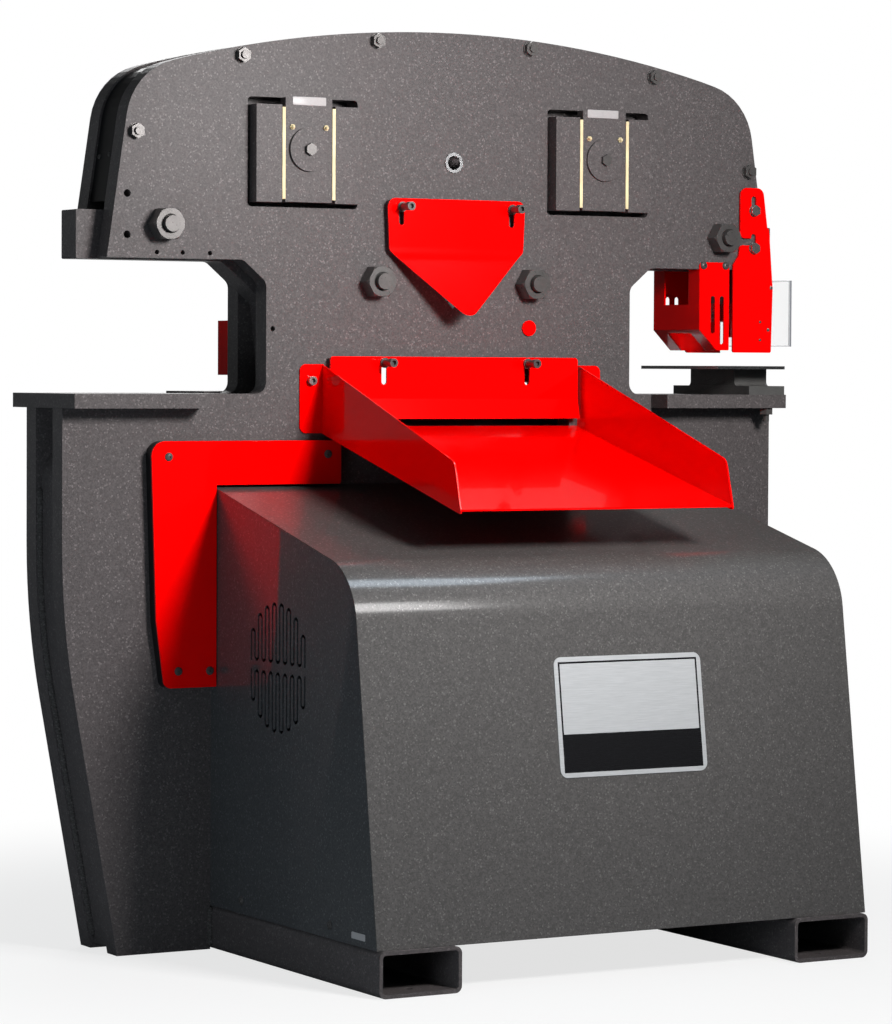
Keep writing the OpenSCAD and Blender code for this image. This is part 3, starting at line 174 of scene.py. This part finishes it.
def new_finish(name):
    """An empty material, and the Object position in it as a Wire."""
    material = bpy.data.materials.new(name)
    material.use_nodes = True
    material.node_tree.nodes.clear()
    return material, Wire(material.node_tree).node("ShaderNodeTexCoord", {}, {}, "Object")


def shade(place, **sockets):
    """A Principled shader with these sockets, joined to the material's output."""
    names = {key: key.replace("_", " ") for key in sockets}
    shader = place.node("ShaderNodeBsdfPrincipled", {}, {names[k]: v for k, v in sockets.items()})
    place.node("ShaderNodeOutputMaterial", {}, {"Surface": shader})


def relief(place, height, distance, strength=1.0, edge=0.0):
    """A bump from a height; edge rounds the corners of the mesh by that radius."""
    inputs = {"Height": height, "Distance": distance, "Strength": strength}
    if edge:
        inputs["Normal"] = place.node("ShaderNodeBevel", {"samples": 4}, {"Radius": edge})
    return place.node("ShaderNodeBump", {}, inputs)


print("shader helpers ready")

# %% [markdown]
# ## The studio
# The floor and the backdrop are white to the camera, and so to glass and polished metal
# behind the machine, while the rest of the room is dim. That keeps the left-facing sides
# dark, as a key lamp from the front right and above leaves them.
# Near the machine the floor shows a share of its real shading, so the shadow stays.
# Key and fill light the matt surfaces only. Glint and sheen give only the shine, so that
# the highlights can sit where they look right without moving the shadows.

# %% The floor
def make_sheet(name, points, rows, columns):
    """A mesh from a grid of points, rows by columns, each cell one four-sided face."""
    index = np.arange(rows * columns).reshape(rows, columns)
    faces = np.stack([index[:-1, :-1], index[:-1, 1:], index[1:, 1:], index[1:, :-1]], -1)
    mesh = bpy.data.meshes.new(name)
    mesh.from_pydata(points.reshape(-1, 3).tolist(), [], faces.reshape(-1, 4).tolist())
    thing = bpy.data.objects.new(name, mesh)
    bpy.context.scene.collection.objects.link(thing)
    return thing


FLOOR_HALF, FLOOR_DROP, FLOOR_CLEAR = 9.0, 0.0005, 1.9
across = np.linspace(-FLOOR_HALF, FLOOR_HALF, 3)
grid_x, grid_y = np.meshgrid(across, across)
floor = make_sheet("floor", np.stack([grid_x, grid_y, np.full_like(grid_x, -FLOOR_DROP)], -1), 3, 3)

floor_finish, place = new_finish("studio_floor")
from_camera, off_gloss, through_glass = place.rays()
distance = place.node("ShaderNodeVectorMath", {"operation": "LENGTH"}, {0: place}, "Value")
far_white = distance.step(0.7, FLOOR_CLEAR) * 0.25 + 0.75
seen_white = far_white * (from_camera + through_glass)
behind = place.axis(1).step(2.2, 4.0) * place.axis(0).step(-0.5, 0.3)
mirrored_white = off_gloss * behind * 0.7
unseen = off_gloss.mix((0.34, 0.38, 0.42, 1), (0.08, 0.08, 0.08, 1))
matt = place.node("ShaderNodeBsdfDiffuse", {},
                  {"Color": from_camera.mix(unseen, (0.9, 0.9, 0.9, 1))})
white = place.node("ShaderNodeEmission", {}, {"Color": (1, 1, 1, 1), "Strength": 1.0})
share = (seen_white + mirrored_white).clip()
both = place.node("ShaderNodeMixShader", {}, {0: share, 1: matt, 2: white})
place.node("ShaderNodeOutputMaterial", {}, {"Surface": both})
floor.data.materials.append(floor_finish)
print("floor made")

# %% The world
world = bpy.data.worlds.new("studio")
bpy.context.scene.world = world
world.use_nodes = True
world.node_tree.nodes.clear()
sky = Wire(world.node_tree).node("ShaderNodeTexCoord", {}, {}, "Generated")
BACKDROP = (0.50, 0.87, 0.0)
facing = sky.node("ShaderNodeVectorMath", {"operation": "DOT_PRODUCT"},
                  {0: sky, 1: BACKDROP}, "Value")
backdrop = facing.step(0.62, 0.86)
above = sky.axis(2).step(-0.2, 0.9)
ambient = (0.11 + above * 0.06) + backdrop * 0.10
from_camera, off_gloss, through_glass = sky.rays()
low_sky = 1 - sky.axis(2).step(0.15, 0.35)
glossy_level = backdrop * low_sky * 0.9 + 0.03
level = ambient + off_gloss * (glossy_level - ambient)
full = (from_camera + through_glass).clip()
strength = level + full * (1 - level)
tone = (full + off_gloss).clip().mix((0.80, 0.93, 1.0, 1), (1, 1, 1, 1))
background = sky.node("ShaderNodeBackground", {}, {"Color": tone, "Strength": strength})
sky.node("ShaderNodeOutputWorld", {}, {"Surface": background})
print("world made")

# %% The lamps
def lamp(name, spot, aim, size, watts, shade_of=(1, 1, 1), spread=180):
    """A square area lamp at spot, facing aim, with its light held within spread degrees."""
    light = bpy.data.lights.new(name, "AREA")
    light.size, light.energy, light.color = size, watts, shade_of
    light.spread = math.radians(spread)
    thing = bpy.data.objects.new(name, light)
    direction = Vector(aim) - Vector(spot)
    thing.matrix_world = (Matrix.Translation(Vector(spot))
                          @ direction.to_track_quat("-Z", "Y").to_matrix().to_4x4())
    thing.visible_camera = False
    bpy.context.scene.collection.objects.link(thing)
    return thing


MACHINE_MIDDLE = (0, -0.1, 1.1)
WARM, COOL, COOLER = (1.0, 0.985, 0.98), (0.80, 0.92, 1.0), (0.75, 0.88, 1.0)
key = lamp("key", (0.22, -2.4, 1.86), (-0.5, -0.1, 1.2), 0.5, 40, WARM, 115)
fill = lamp("fill", (-2.0, -1.3, 0.2), (-0.5, -0.3, 0.25), 0.8, 9, COOL)
glint = lamp("glint", (0.52, -2.2, 1.68), MACHINE_MIDDLE, 0.5, 17, WARM)
sheen = lamp("sheen", (1.05, -1.15, 3.2), (-0.3, -0.6, 0.65), 0.6, 14, COOLER)
rear = lamp("rear", (1.8, 4.2, 3.4), MACHINE_MIDDLE, 2.4, 70)
for light in (key, fill):
    light.visible_glossy = False
for light in (glint, sheen):
    light.visible_diffuse = False
print("lamps:", [(one.name, round(one.data.energy)) for one in (key, fill, glint, sheen, rear)])

view = bpy.context.scene.view_settings
view.view_transform = "Standard"

# %% [markdown]
# ## Hammertone paint
# The frame, tables and hood wear a dark grey textured paint with flakes in it. Two patterns
# make it up: a pebbled relief of about three millimetres, and flakes, of which a few are
# painted much lighter than the rest as painted glints. The flakes are the cells of a Voronoi
# pattern, each with a brightness of its own, because noise alone joins the bright spots into worms.

# %% Grey hammertone
PEBBLES_PER_M, FLAKES_PER_M = 360.0, 400.0


def hammertone(name, colour, edge=0.0012, pebble=0.4, coat=0.25, coat_rough=0.3):
    """Textured flake paint: mottled colour, pebbled bump, and a few flakes painted bright as
    painted glints.
    """
    material, place = new_finish(name)
    pebbles = place.noise(PEBBLES_PER_M, 2.0, 0.55)
    flakes = place.node("ShaderNodeTexVoronoi", {}, {"Vector": place, "Scale": FLAKES_PER_M}, 1)
    # A few flakes get a much lighter colour: painted glints, their sparkle painted into the colour.
    painted_glint = flakes.axis(1).step(0.90, 0.98)
    mottle = (pebbles * 0.4 + flakes.axis(0) * 0.6).step(0.15, 0.85)
    body_tint = mottle.mix(toned(colour, 0.76), toned(colour, 1.18))
    shade(place, Base_Color=painted_glint.mix(body_tint, toned(colour, 1.75)),
          Roughness=0.56 - painted_glint * 0.08, Specular_IOR_Level=0.45,
          Coat_Weight=coat, Coat_Roughness=coat_rough,
          Normal=relief(place, pebbles, 0.0008, pebble, edge))
    return material


grey = hammertone("grey_hammertone", srgb(82, 77, 77))
# The hood wears copies of the frame grey. On the top and front it is a little darker and cooler, a
# painted shade. On the sides it is darker and bluer still, a painted shade for the left-facing
# sides. Their smoother, glossier coats are the hood's own finish.
grey_hood = hammertone("grey_hood", srgb(78, 76, 75), 0.0012, 0.2, 0.6, 0.15)
grey_side_painted_shade = hammertone("grey_hood_side_painted_shade", srgb(70, 71, 73), 0.0008, 0.10, 0.9, 0.05)
print("finishes:", grey.name, grey_hood.name, grey_side_painted_shade.name)

# %% [markdown]
# ## Red powder coat
# The guards and the tray are glossy red, smooth enough to mirror what stands on them.
# A thin clear coat gives the mirror; a very faint orange-peel bump keeps it from looking
# like glass.

# %% Red powder coat
def gloss_paint(name, colour, rough, coat):
    """Smooth paint with a clear coat and faint orange peel."""
    material, place = new_finish(name)
    peel = place.noise(210.0, 1.0, 0.4)
    cloud = place.noise(9.0, 3.0, 0.5)
    shade(place, Base_Color=cloud.mix(toned(colour, 0.93), colour), Roughness=rough + cloud * 0.04,
          Specular_IOR_Level=0.15, Coat_Weight=coat, Coat_Roughness=0.02,
          Normal=relief(place, peel, 0.00012, 0.3, 0.0006))
    return material


red = gloss_paint("red_powder_coat", (1.0, 0.0, 0.0, 1), 0.14, 0.5)
black = gloss_paint("black_paint", (0.012, 0.012, 0.013, 1), 0.42, 0.25)
motor_grey = gloss_paint("motor_paint", (0.07, 0.085, 0.10, 1), 0.4, 0.3)
print("finishes:", red.name, black.name, motor_grey.name)

# %% [markdown]
# ## Metals
# Fasteners are black-oxide steel with a little oil, blades and rods are ground, the die
# block is a rough casting, and the gibs are pale brass. All have slight scratches in their
# roughness, because a bare metal of one roughness looks like plastic.

# %% Metals
def metal(name, colour, rough, grain=(1, 1, 1), grain_scale=180.0, bump=0.00004,
          spread=0.16, metallic=1.0):
    """Bare or oxide metal: grain stretched along an axis varies roughness and relief."""
    material, place = new_finish(name)
    lines = place.stretched(grain).noise(grain_scale, 3.0, 0.6)
    cloud = place.noise(22.0, 3.0, 0.55)
    worn = (cloud * 0.7 + lines * 0.3).step(0.35, 0.7)
    shade(place, Base_Color=worn.mix(colour, toned(colour, 1.35)),
          Metallic=metallic, Roughness=rough + (lines - 0.5) * spread,
          Normal=relief(place, lines, bump, 0.5, 0.0004))
    return material


oxide = metal("black_oxide_steel", (0.12, 0.113, 0.11, 1), 0.3, metallic=0.55)
zinc = metal("zinc_bolt", (0.36, 0.335, 0.325, 1), 0.26, metallic=0.85)
steel = metal("bright_steel", (0.55, 0.55, 0.56, 1), 0.26, (0.08, 1, 1), 900.0)
casting = metal("cast_iron", (0.085, 0.083, 0.08, 1), 0.55, (1, 1, 1), 420.0, 0.0016, 0.3, 0.15)
brass = metal("brass", (0.80, 0.66, 0.40, 1), 0.55, (1, 1, 0.05), 700.0, metallic=0.3)
print("metals ready")

# %% [markdown]
# ## The badge plate
# The plate on the hood is brushed aluminium with a thin black frame line and a black band
# along its foot. Both are flat print, so they are colour, not relief: the distance to the
# edge of the plate is worked out from the Object position and cut into bands.

# %% Badge print
RIM, RIM_AND_LINE, FOOT_BELOW = 0.0080, 0.0112, 0.028
badge_low, badge_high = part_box("badge_plate")
badge_mid, badge_size = (badge_low + badge_high) / 2, badge_high - badge_low

silver, place = new_finish("brushed_aluminium")
from_side = badge_size.x / 2 - (place.axis(0) - badge_mid.x).size()
from_end = badge_size.z / 2 - (place.axis(2) - badge_mid.z).size()
inset = from_side.smaller(from_end)
frame_line = (inset > RIM) * (inset < RIM_AND_LINE)
foot_band = (inset > RIM) * (place.axis(2) < badge_mid.z - FOOT_BELOW)
print_mask = (frame_line + foot_band).clip()
strokes = place.stretched((0.02, 1, 1)).noise(1500.0, 3.0, 0.6)
metal_tone = strokes.step(0.3, 0.7).mix((0.50, 0.51, 0.52, 1), (0.60, 0.61, 0.62, 1))
shade(place, Base_Color=print_mask.mix(metal_tone, (0.008, 0.008, 0.009, 1)),
      Metallic=(1 - print_mask) * 0.3, Roughness=0.42 + (strokes - 0.5) * 0.1 - print_mask * 0.15,
      Normal=relief(place, strokes, 0.00002, 0.3, 0.0006))
print("badge print ready")

# %% Plastics and clear sheet
green_cap = gloss_paint("green_plastic", (0.01, 0.22, 0.05, 1), 0.3, 0.6)
red_cap = gloss_paint("red_plastic", (0.6, 0.006, 0.006, 1), 0.3, 0.6)

EDGE_SIDE, EDGE_TOP = 0.0045, 0.002
clear, place = new_finish("clear_polycarbonate")
shield_low, shield_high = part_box("clear_end_shield")
haze = place.noise(6.0, 2.0, 0.5)
near_front = place.axis(1) < shield_low.y + EDGE_SIDE
near_back = place.axis(1) > shield_high.y - EDGE_SIDE
corner = (place.axis(0) > shield_high.x - EDGE_SIDE) * (near_front + near_back)
ends = (place.axis(2) > shield_high.z - EDGE_TOP) + (place.axis(2) < shield_low.z + EDGE_TOP)
# The sheet's edges and its bent corner are painted dark grey and nearly opaque: painted shade for
# the look of clear sheet seen edge-on.
painted_edge_shade = (corner + ends * 0.35).clip()
shade(place, Base_Color=painted_edge_shade.mix((0.94, 0.96, 0.98, 1), (0.22, 0.23, 0.26, 1)), Roughness=0.06,
      Alpha=0.05 + haze * 0.03 + painted_edge_shade * 0.7, Coat_Weight=0.3, Coat_Roughness=0.02)
print("plastics ready")

# %% [markdown]
# ## Dress the CAD nodes
# Each node of the machine names a material slot in its record. The finish for a slot goes
# into the node's own material slots, and the mesh itself isn't touched.

# %% Assign the finishes
FINISHES = {"grey_hammertone": grey, "red_powder_coat": red, "black_paint": black,
            "motor_paint": motor_grey, "black_oxide_steel": oxide, "bright_steel": steel,
            "cast_iron": casting, "brass": brass, "brushed_aluminium": silver,
            "clear_polycarbonate": clear, "green_plastic": green_cap, "red_plastic": red_cap}

OWN_FINISH = {"hood_side_left": grey_side_painted_shade, "hood_side_right": grey_side_painted_shade, "guard_bolts": zinc}

for part in frame["record"]["subparts"]:
    for slot in nodes[part["node"]].material_slots:
        slot.material = OWN_FINISH.get(part["node"], FINISHES[part["material_slot"]])

# %% [markdown]
# ## The hood's bent sheet
# The hood is one sheet, bent over from the sloping top to the leaning front. The machine's
# own mesh shows the bend as flat facets, so here the same profile is sampled finely and
# shaded smooth. The profile is two straight legs joined by an arc that touches both.

# %% Sheet helpers
def finish_piece(name, points, faces, finish, body="frame", smooth=35):
    """A piece from points and faces: smooth where it turns less than that many degrees."""
    mesh = bpy.data.meshes.new(name)
    mesh.from_pydata(np.asarray(points).reshape(-1, 3).tolist(), [], faces)
    mesh.validate()
    mesh.shade_smooth()
    mesh.set_sharp_from_angle(angle=math.radians(smooth))
    mesh.materials.append(finish)
    thing = bpy.data.objects.new(name, mesh)
    bpy.context.scene.collection.objects.link(thing)
    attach(thing, body)
    return thing


def ring_faces(rings, around, cap_ends=True):
    """Four-sided faces between closed rings of points, with a flat cap at each end."""
    index = np.arange(rings * around).reshape(rings, around)
    turned = np.roll(index, -1, axis=1)
    faces = np.stack([index[:-1], turned[:-1], turned[1:], index[1:]], -1).reshape(-1, 4).tolist()
    if cap_ends:
        faces += [index[0, ::-1].tolist(), index[-1].tolist()]
    return faces


# %% The hood
HOOD_SLOPE, HOOD_LEAN = math.radians(13.8), math.radians(8)
HOOD_BEND, HOOD_SHEET, ARC_POINTS = 0.115, 0.0025, 49
hood_low, hood_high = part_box("hood_cover")


def hood_path(inset):
    """Profile in Y and Z, inset metres inside: a line, an arc touching both legs, a line."""
    top = hood_high.z - inset / math.cos(HOOD_SLOPE)
    front = hood_low.y + inset / math.cos(HOOD_LEAN)
    slope, lean, radius = math.tan(HOOD_SLOPE), math.tan(HOOD_LEAN), HOOD_BEND - inset
    corner_y = (front + lean * (top - slope * hood_high.y - hood_low.z)) / (1 - lean * slope)
    corner_z = top + slope * (corner_y - hood_high.y)
    turn = math.pi / 2 - HOOD_SLOPE - HOOD_LEAN
    leg = radius * math.tan(turn / 2)
    start = np.array([corner_y + leg * math.cos(HOOD_SLOPE),
                      corner_z + leg * math.sin(HOOD_SLOPE)])
    centre = start + radius * np.array([math.sin(HOOD_SLOPE), -math.cos(HOOD_SLOPE)])
    angle = math.pi / 2 + HOOD_SLOPE + np.linspace(0, turn, ARC_POINTS)
    arc = centre + radius * np.stack([np.cos(angle), np.sin(angle)], -1)
    return np.concatenate([[[hood_high.y, top]], arc, [[front, hood_low.z]]])


outer, inner = hood_path(0.0), hood_path(HOOD_SHEET)
loop = np.concatenate([outer, inner[::-1]])
ends = np.array([hood_low.x, hood_high.x])
hood_points = np.stack([np.broadcast_to(ends[:, None], (2, len(loop))),
                        np.broadcast_to(loop[:, 0], (2, len(loop))),
                        np.broadcast_to(loop[:, 1], (2, len(loop)))], -1)
index = np.arange(2 * len(loop)).reshape(2, len(loop))
half = len(outer)
left_rim, right_rim = (np.stack([row[:half - 1], row[1:half],
                                 row[::-1][1:half], row[::-1][:half - 1]], -1) for row in index)
hood_faces = (ring_faces(2, len(loop), False) + left_rim[:, ::-1].tolist()
              + right_rim.tolist())
hood = finish_piece("hood_sheet", hood_points, hood_faces, grey_hood)
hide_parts("hood_cover")
print("hood faces:", len(hood_faces), "middle of the bend:", outer[half // 2].round(3).tolist())

# %% [markdown]
# ## Screws, bare labels and welds
# Each of these is a surface of rings: a shape drawn round an axis or carried along a path.
# The screws have a domed head with a hexagonal socket, the labels are thin blank plates,
# and a weld is a round bead that swells and narrows as it runs, like a row of coins.

# %% Rings round an axis
def body_of(node):
    """The body that carries a node of the machine."""
    bodies = frame["record"]["behaviour"]["bodies"]
    return next(body for body, members in bodies.items() if node in members)


def stand(local, spot, facing):
    """Local points turned so that their Z points along facing, and moved to spot."""
    out = np.array(facing, float) / np.linalg.norm(facing)
    across = np.cross((0, 0, 1), out)
    across /= np.linalg.norm(across)
    return np.asarray(local) @ np.stack([across, np.cross(out, across), out]) + np.array(spot)


def button_screw(name, spot, facing, diameter, finish, body):
    """A domed head: ring radius is the head times a cosine and its height the dome times a
    sine. In the socket, dividing by the cosine from the middle of a flat gives six flats."""
    rise = np.linspace(0, 1.04, 6)
    radius = diameter / 2 * np.concatenate([[1], np.cos(rise), [0.44, 0.42]])
    height = diameter * 0.28 * np.concatenate([[-0.1], np.sin(rise), [0.84, 0.25]])
    angle = np.arange(36) / 36 * 2 * math.pi
    flats = math.cos(math.pi / 6) / np.cos(angle % (math.pi / 3) - math.pi / 6)
    in_socket = np.arange(len(radius)) > len(rise)
    reach = radius[:, None] * np.where(in_socket[:, None], flats[None], 1.0)
    local = np.stack([reach * np.cos(angle), reach * np.sin(angle),
                      np.broadcast_to(height[:, None], reach.shape)], -1)
    return finish_piece(name, stand(local, spot, facing), ring_faces(*reach.shape),
                        finish, body)


LABEL_SUNK = 0.0002


def label_plate(name, spot, facing, width, height, finish, body, thick=0.0008,
                corner=0.002):
    """A thin plate: each ring is a corner centre plus a unit circle times the corner radius,
    drawn in by one minus the cosine of the rim while it rises by the sine."""
    angle = (np.arange(48) + 0.5) / 48 * 2 * math.pi
    unit = np.stack([np.cos(angle), np.sin(angle)], -1)
    centre = np.sign(unit) * (np.array([width, height]) / 2 - corner)
    rim = np.concatenate([[0], np.linspace(0, math.pi / 2, 5)])
    flat = centre + unit * (corner - thick * (1 - np.cos(rim)))[:, None, None]
    sunk = LABEL_SUNK * (np.arange(len(rim)) == 0)
    rise = np.broadcast_to((thick * np.sin(rim) - sunk)[:, None, None], (*flat.shape[:2], 1))
    local = np.concatenate([flat, rise], -1)
    return finish_piece(name, stand(local, spot, facing), ring_faces(*flat.shape[:2]),
                        finish, body, 60)


print("ring helpers ready")

# %% Screws
guard_body, strip_body = body_of("punch_side_guards"), body_of("top_cover_strip")
guard_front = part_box("punch_side_guards")[0].y
FRONT, STRIP_OUT = (0, -1, 0), (-0.99, 0, 0.15)
SCREWS = [("shield_screw", 0.007, zinc, guard_body, FRONT,
           [(0.6832, guard_front, 1.1624), (0.6772, guard_front, 1.0838)]),
          ("shield_rivet", 0.005, oxide, guard_body, FRONT,
           [(0.659, guard_front, 1.0985), (0.659, guard_front, 1.0649)]),
          ("strip_screw", 0.009, oxide, strip_body, STRIP_OUT,
           [(-0.6476, 0.022, 1.3698), (-0.6471, -0.018, 1.3727)])]
for kind, diameter, finish, body, facing, spots in SCREWS:
    for row, spot in enumerate(spots):
        button_screw(f"{kind}_{row}", spot, facing, diameter, finish, body)
print("screws:", sum(len(screw[-1]) for screw in SCREWS))

# %% Blank labels
label_face, place = new_finish("blank_label")
grain = place.noise(260.0, 2.0, 0.5)
shade(place, Base_Color=grain.mix((0.36, 0.34, 0.34, 1), (0.44, 0.42, 0.42, 1)), Roughness=0.38,
      Coat_Weight=0.3, Coat_Roughness=0.1, Normal=relief(place, grain, 0.00005, 0.3))
slide_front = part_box("slide_blocks")[0].y
for side, x in (("left", -0.3025), ("right", 0.2997)):
    label_plate(f"slide_label_{side}", (x, slide_front, 1.4715), FRONT, 0.066, 0.0148,
                label_face, body_of("slide_blocks"))
side_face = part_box("hood_side_left")[0].x
label_plate("hood_side_label", (side_face, -0.614, 0.0925), (-1, 0, 0), 0.046, 0.011,
            label_face, body_of("hood_side_left"))
print("three blank labels")

# %% Weld beads
BEAD_R, BEAD_STEP, BEAD_SIDES, COIN = 0.006, 0.0013, 14, 0.0048
SWEEP_R, SWEEP = 1.5, math.radians(10.3)
SEAM_TOP, BEND_Z, SEAM_LOW = 0.80, 0.705, 0.02
SEAM_Y, TUBE_X, TUBE_Y, TUBE_LOW, TUBE_HIGH = 0.0335, 0.480, 0.0768, 0.004, 0.074
grey_weld = hammertone("grey_weld", srgb(74, 71, 70), 0.0004, 0.6, 0.6, 0.2)


def weld_bead(name, path):
    """Circles carried along a path; the radius swells by a sine of the length run so far."""
    path = np.asarray(path, float)
    run = np.concatenate([[0], np.cumsum(np.linalg.norm(np.diff(path, axis=0), axis=1))])
    along = np.linspace(0, run[-1], max(8, int(run[-1] / BEAD_STEP)))
    centre = np.stack([np.interp(along, run, path[:, k]) for k in range(3)], -1)
    ahead = np.gradient(centre, axis=0)
    ahead /= np.linalg.norm(ahead, axis=1)[:, None]
    side = np.cross(ahead, (0, 1, 0))
    side /= np.linalg.norm(side, axis=1)[:, None]
    other = np.cross(ahead, side)
    ends = np.sqrt(np.clip(np.minimum(along, run[-1] - along) / BEAD_R, 0.02, 1))
    coins = 0.13 * np.sin(along * 2 * math.pi / COIN)
    swell = BEAD_R * ends * (1 + coins + 0.06 * np.sin(along * 410))
    angle = np.arange(BEAD_SIDES) / BEAD_SIDES * 2 * math.pi
    points = (centre[:, None] + swell[:, None, None]
              * (np.cos(angle)[:, None] * side[:, None] + np.sin(angle)[:, None] * other[:, None]))
    return finish_piece(name, points, ring_faces(len(along), BEAD_SIDES),
                        grey_weld, smooth=80)


def side_seam(half_width, sign, face):
    """The corner of side web and frame plate: upright, round an arc, then straight down."""
    turn = np.linspace(0, SWEEP, 12)
    reach = SWEEP_R - 0.010 + 0.002
    x = half_width - SWEEP_R + reach * np.cos(turn)
    z = BEND_Z - reach * np.sin(turn)
    low_x = x[-1] - (z[-1] - SEAM_LOW) * math.tan(SWEEP)
    x = np.concatenate([[x[0]], x, [low_x]])
    z = np.concatenate([[SEAM_TOP], z, [SEAM_LOW]])
    return np.stack([sign * x, np.full_like(x, face * SEAM_Y), z], -1)


beads = []
for side, half_width, sign in (("left", 0.760, -1), ("right", 0.685, 1)):
    for end, face in (("front", -1), ("rear", 1)):
        beads.append(weld_bead(f"weld_side_{side}_{end}", side_seam(half_width, sign, face)))
        foot = [(sign * TUBE_X, face * TUBE_Y, z) for z in (TUBE_LOW, TUBE_HIGH)]
        beads.append(weld_bead(f"weld_tube_{side}_{end}", foot))
print("weld beads:", len(beads))

# %% [markdown]


print("looks added")
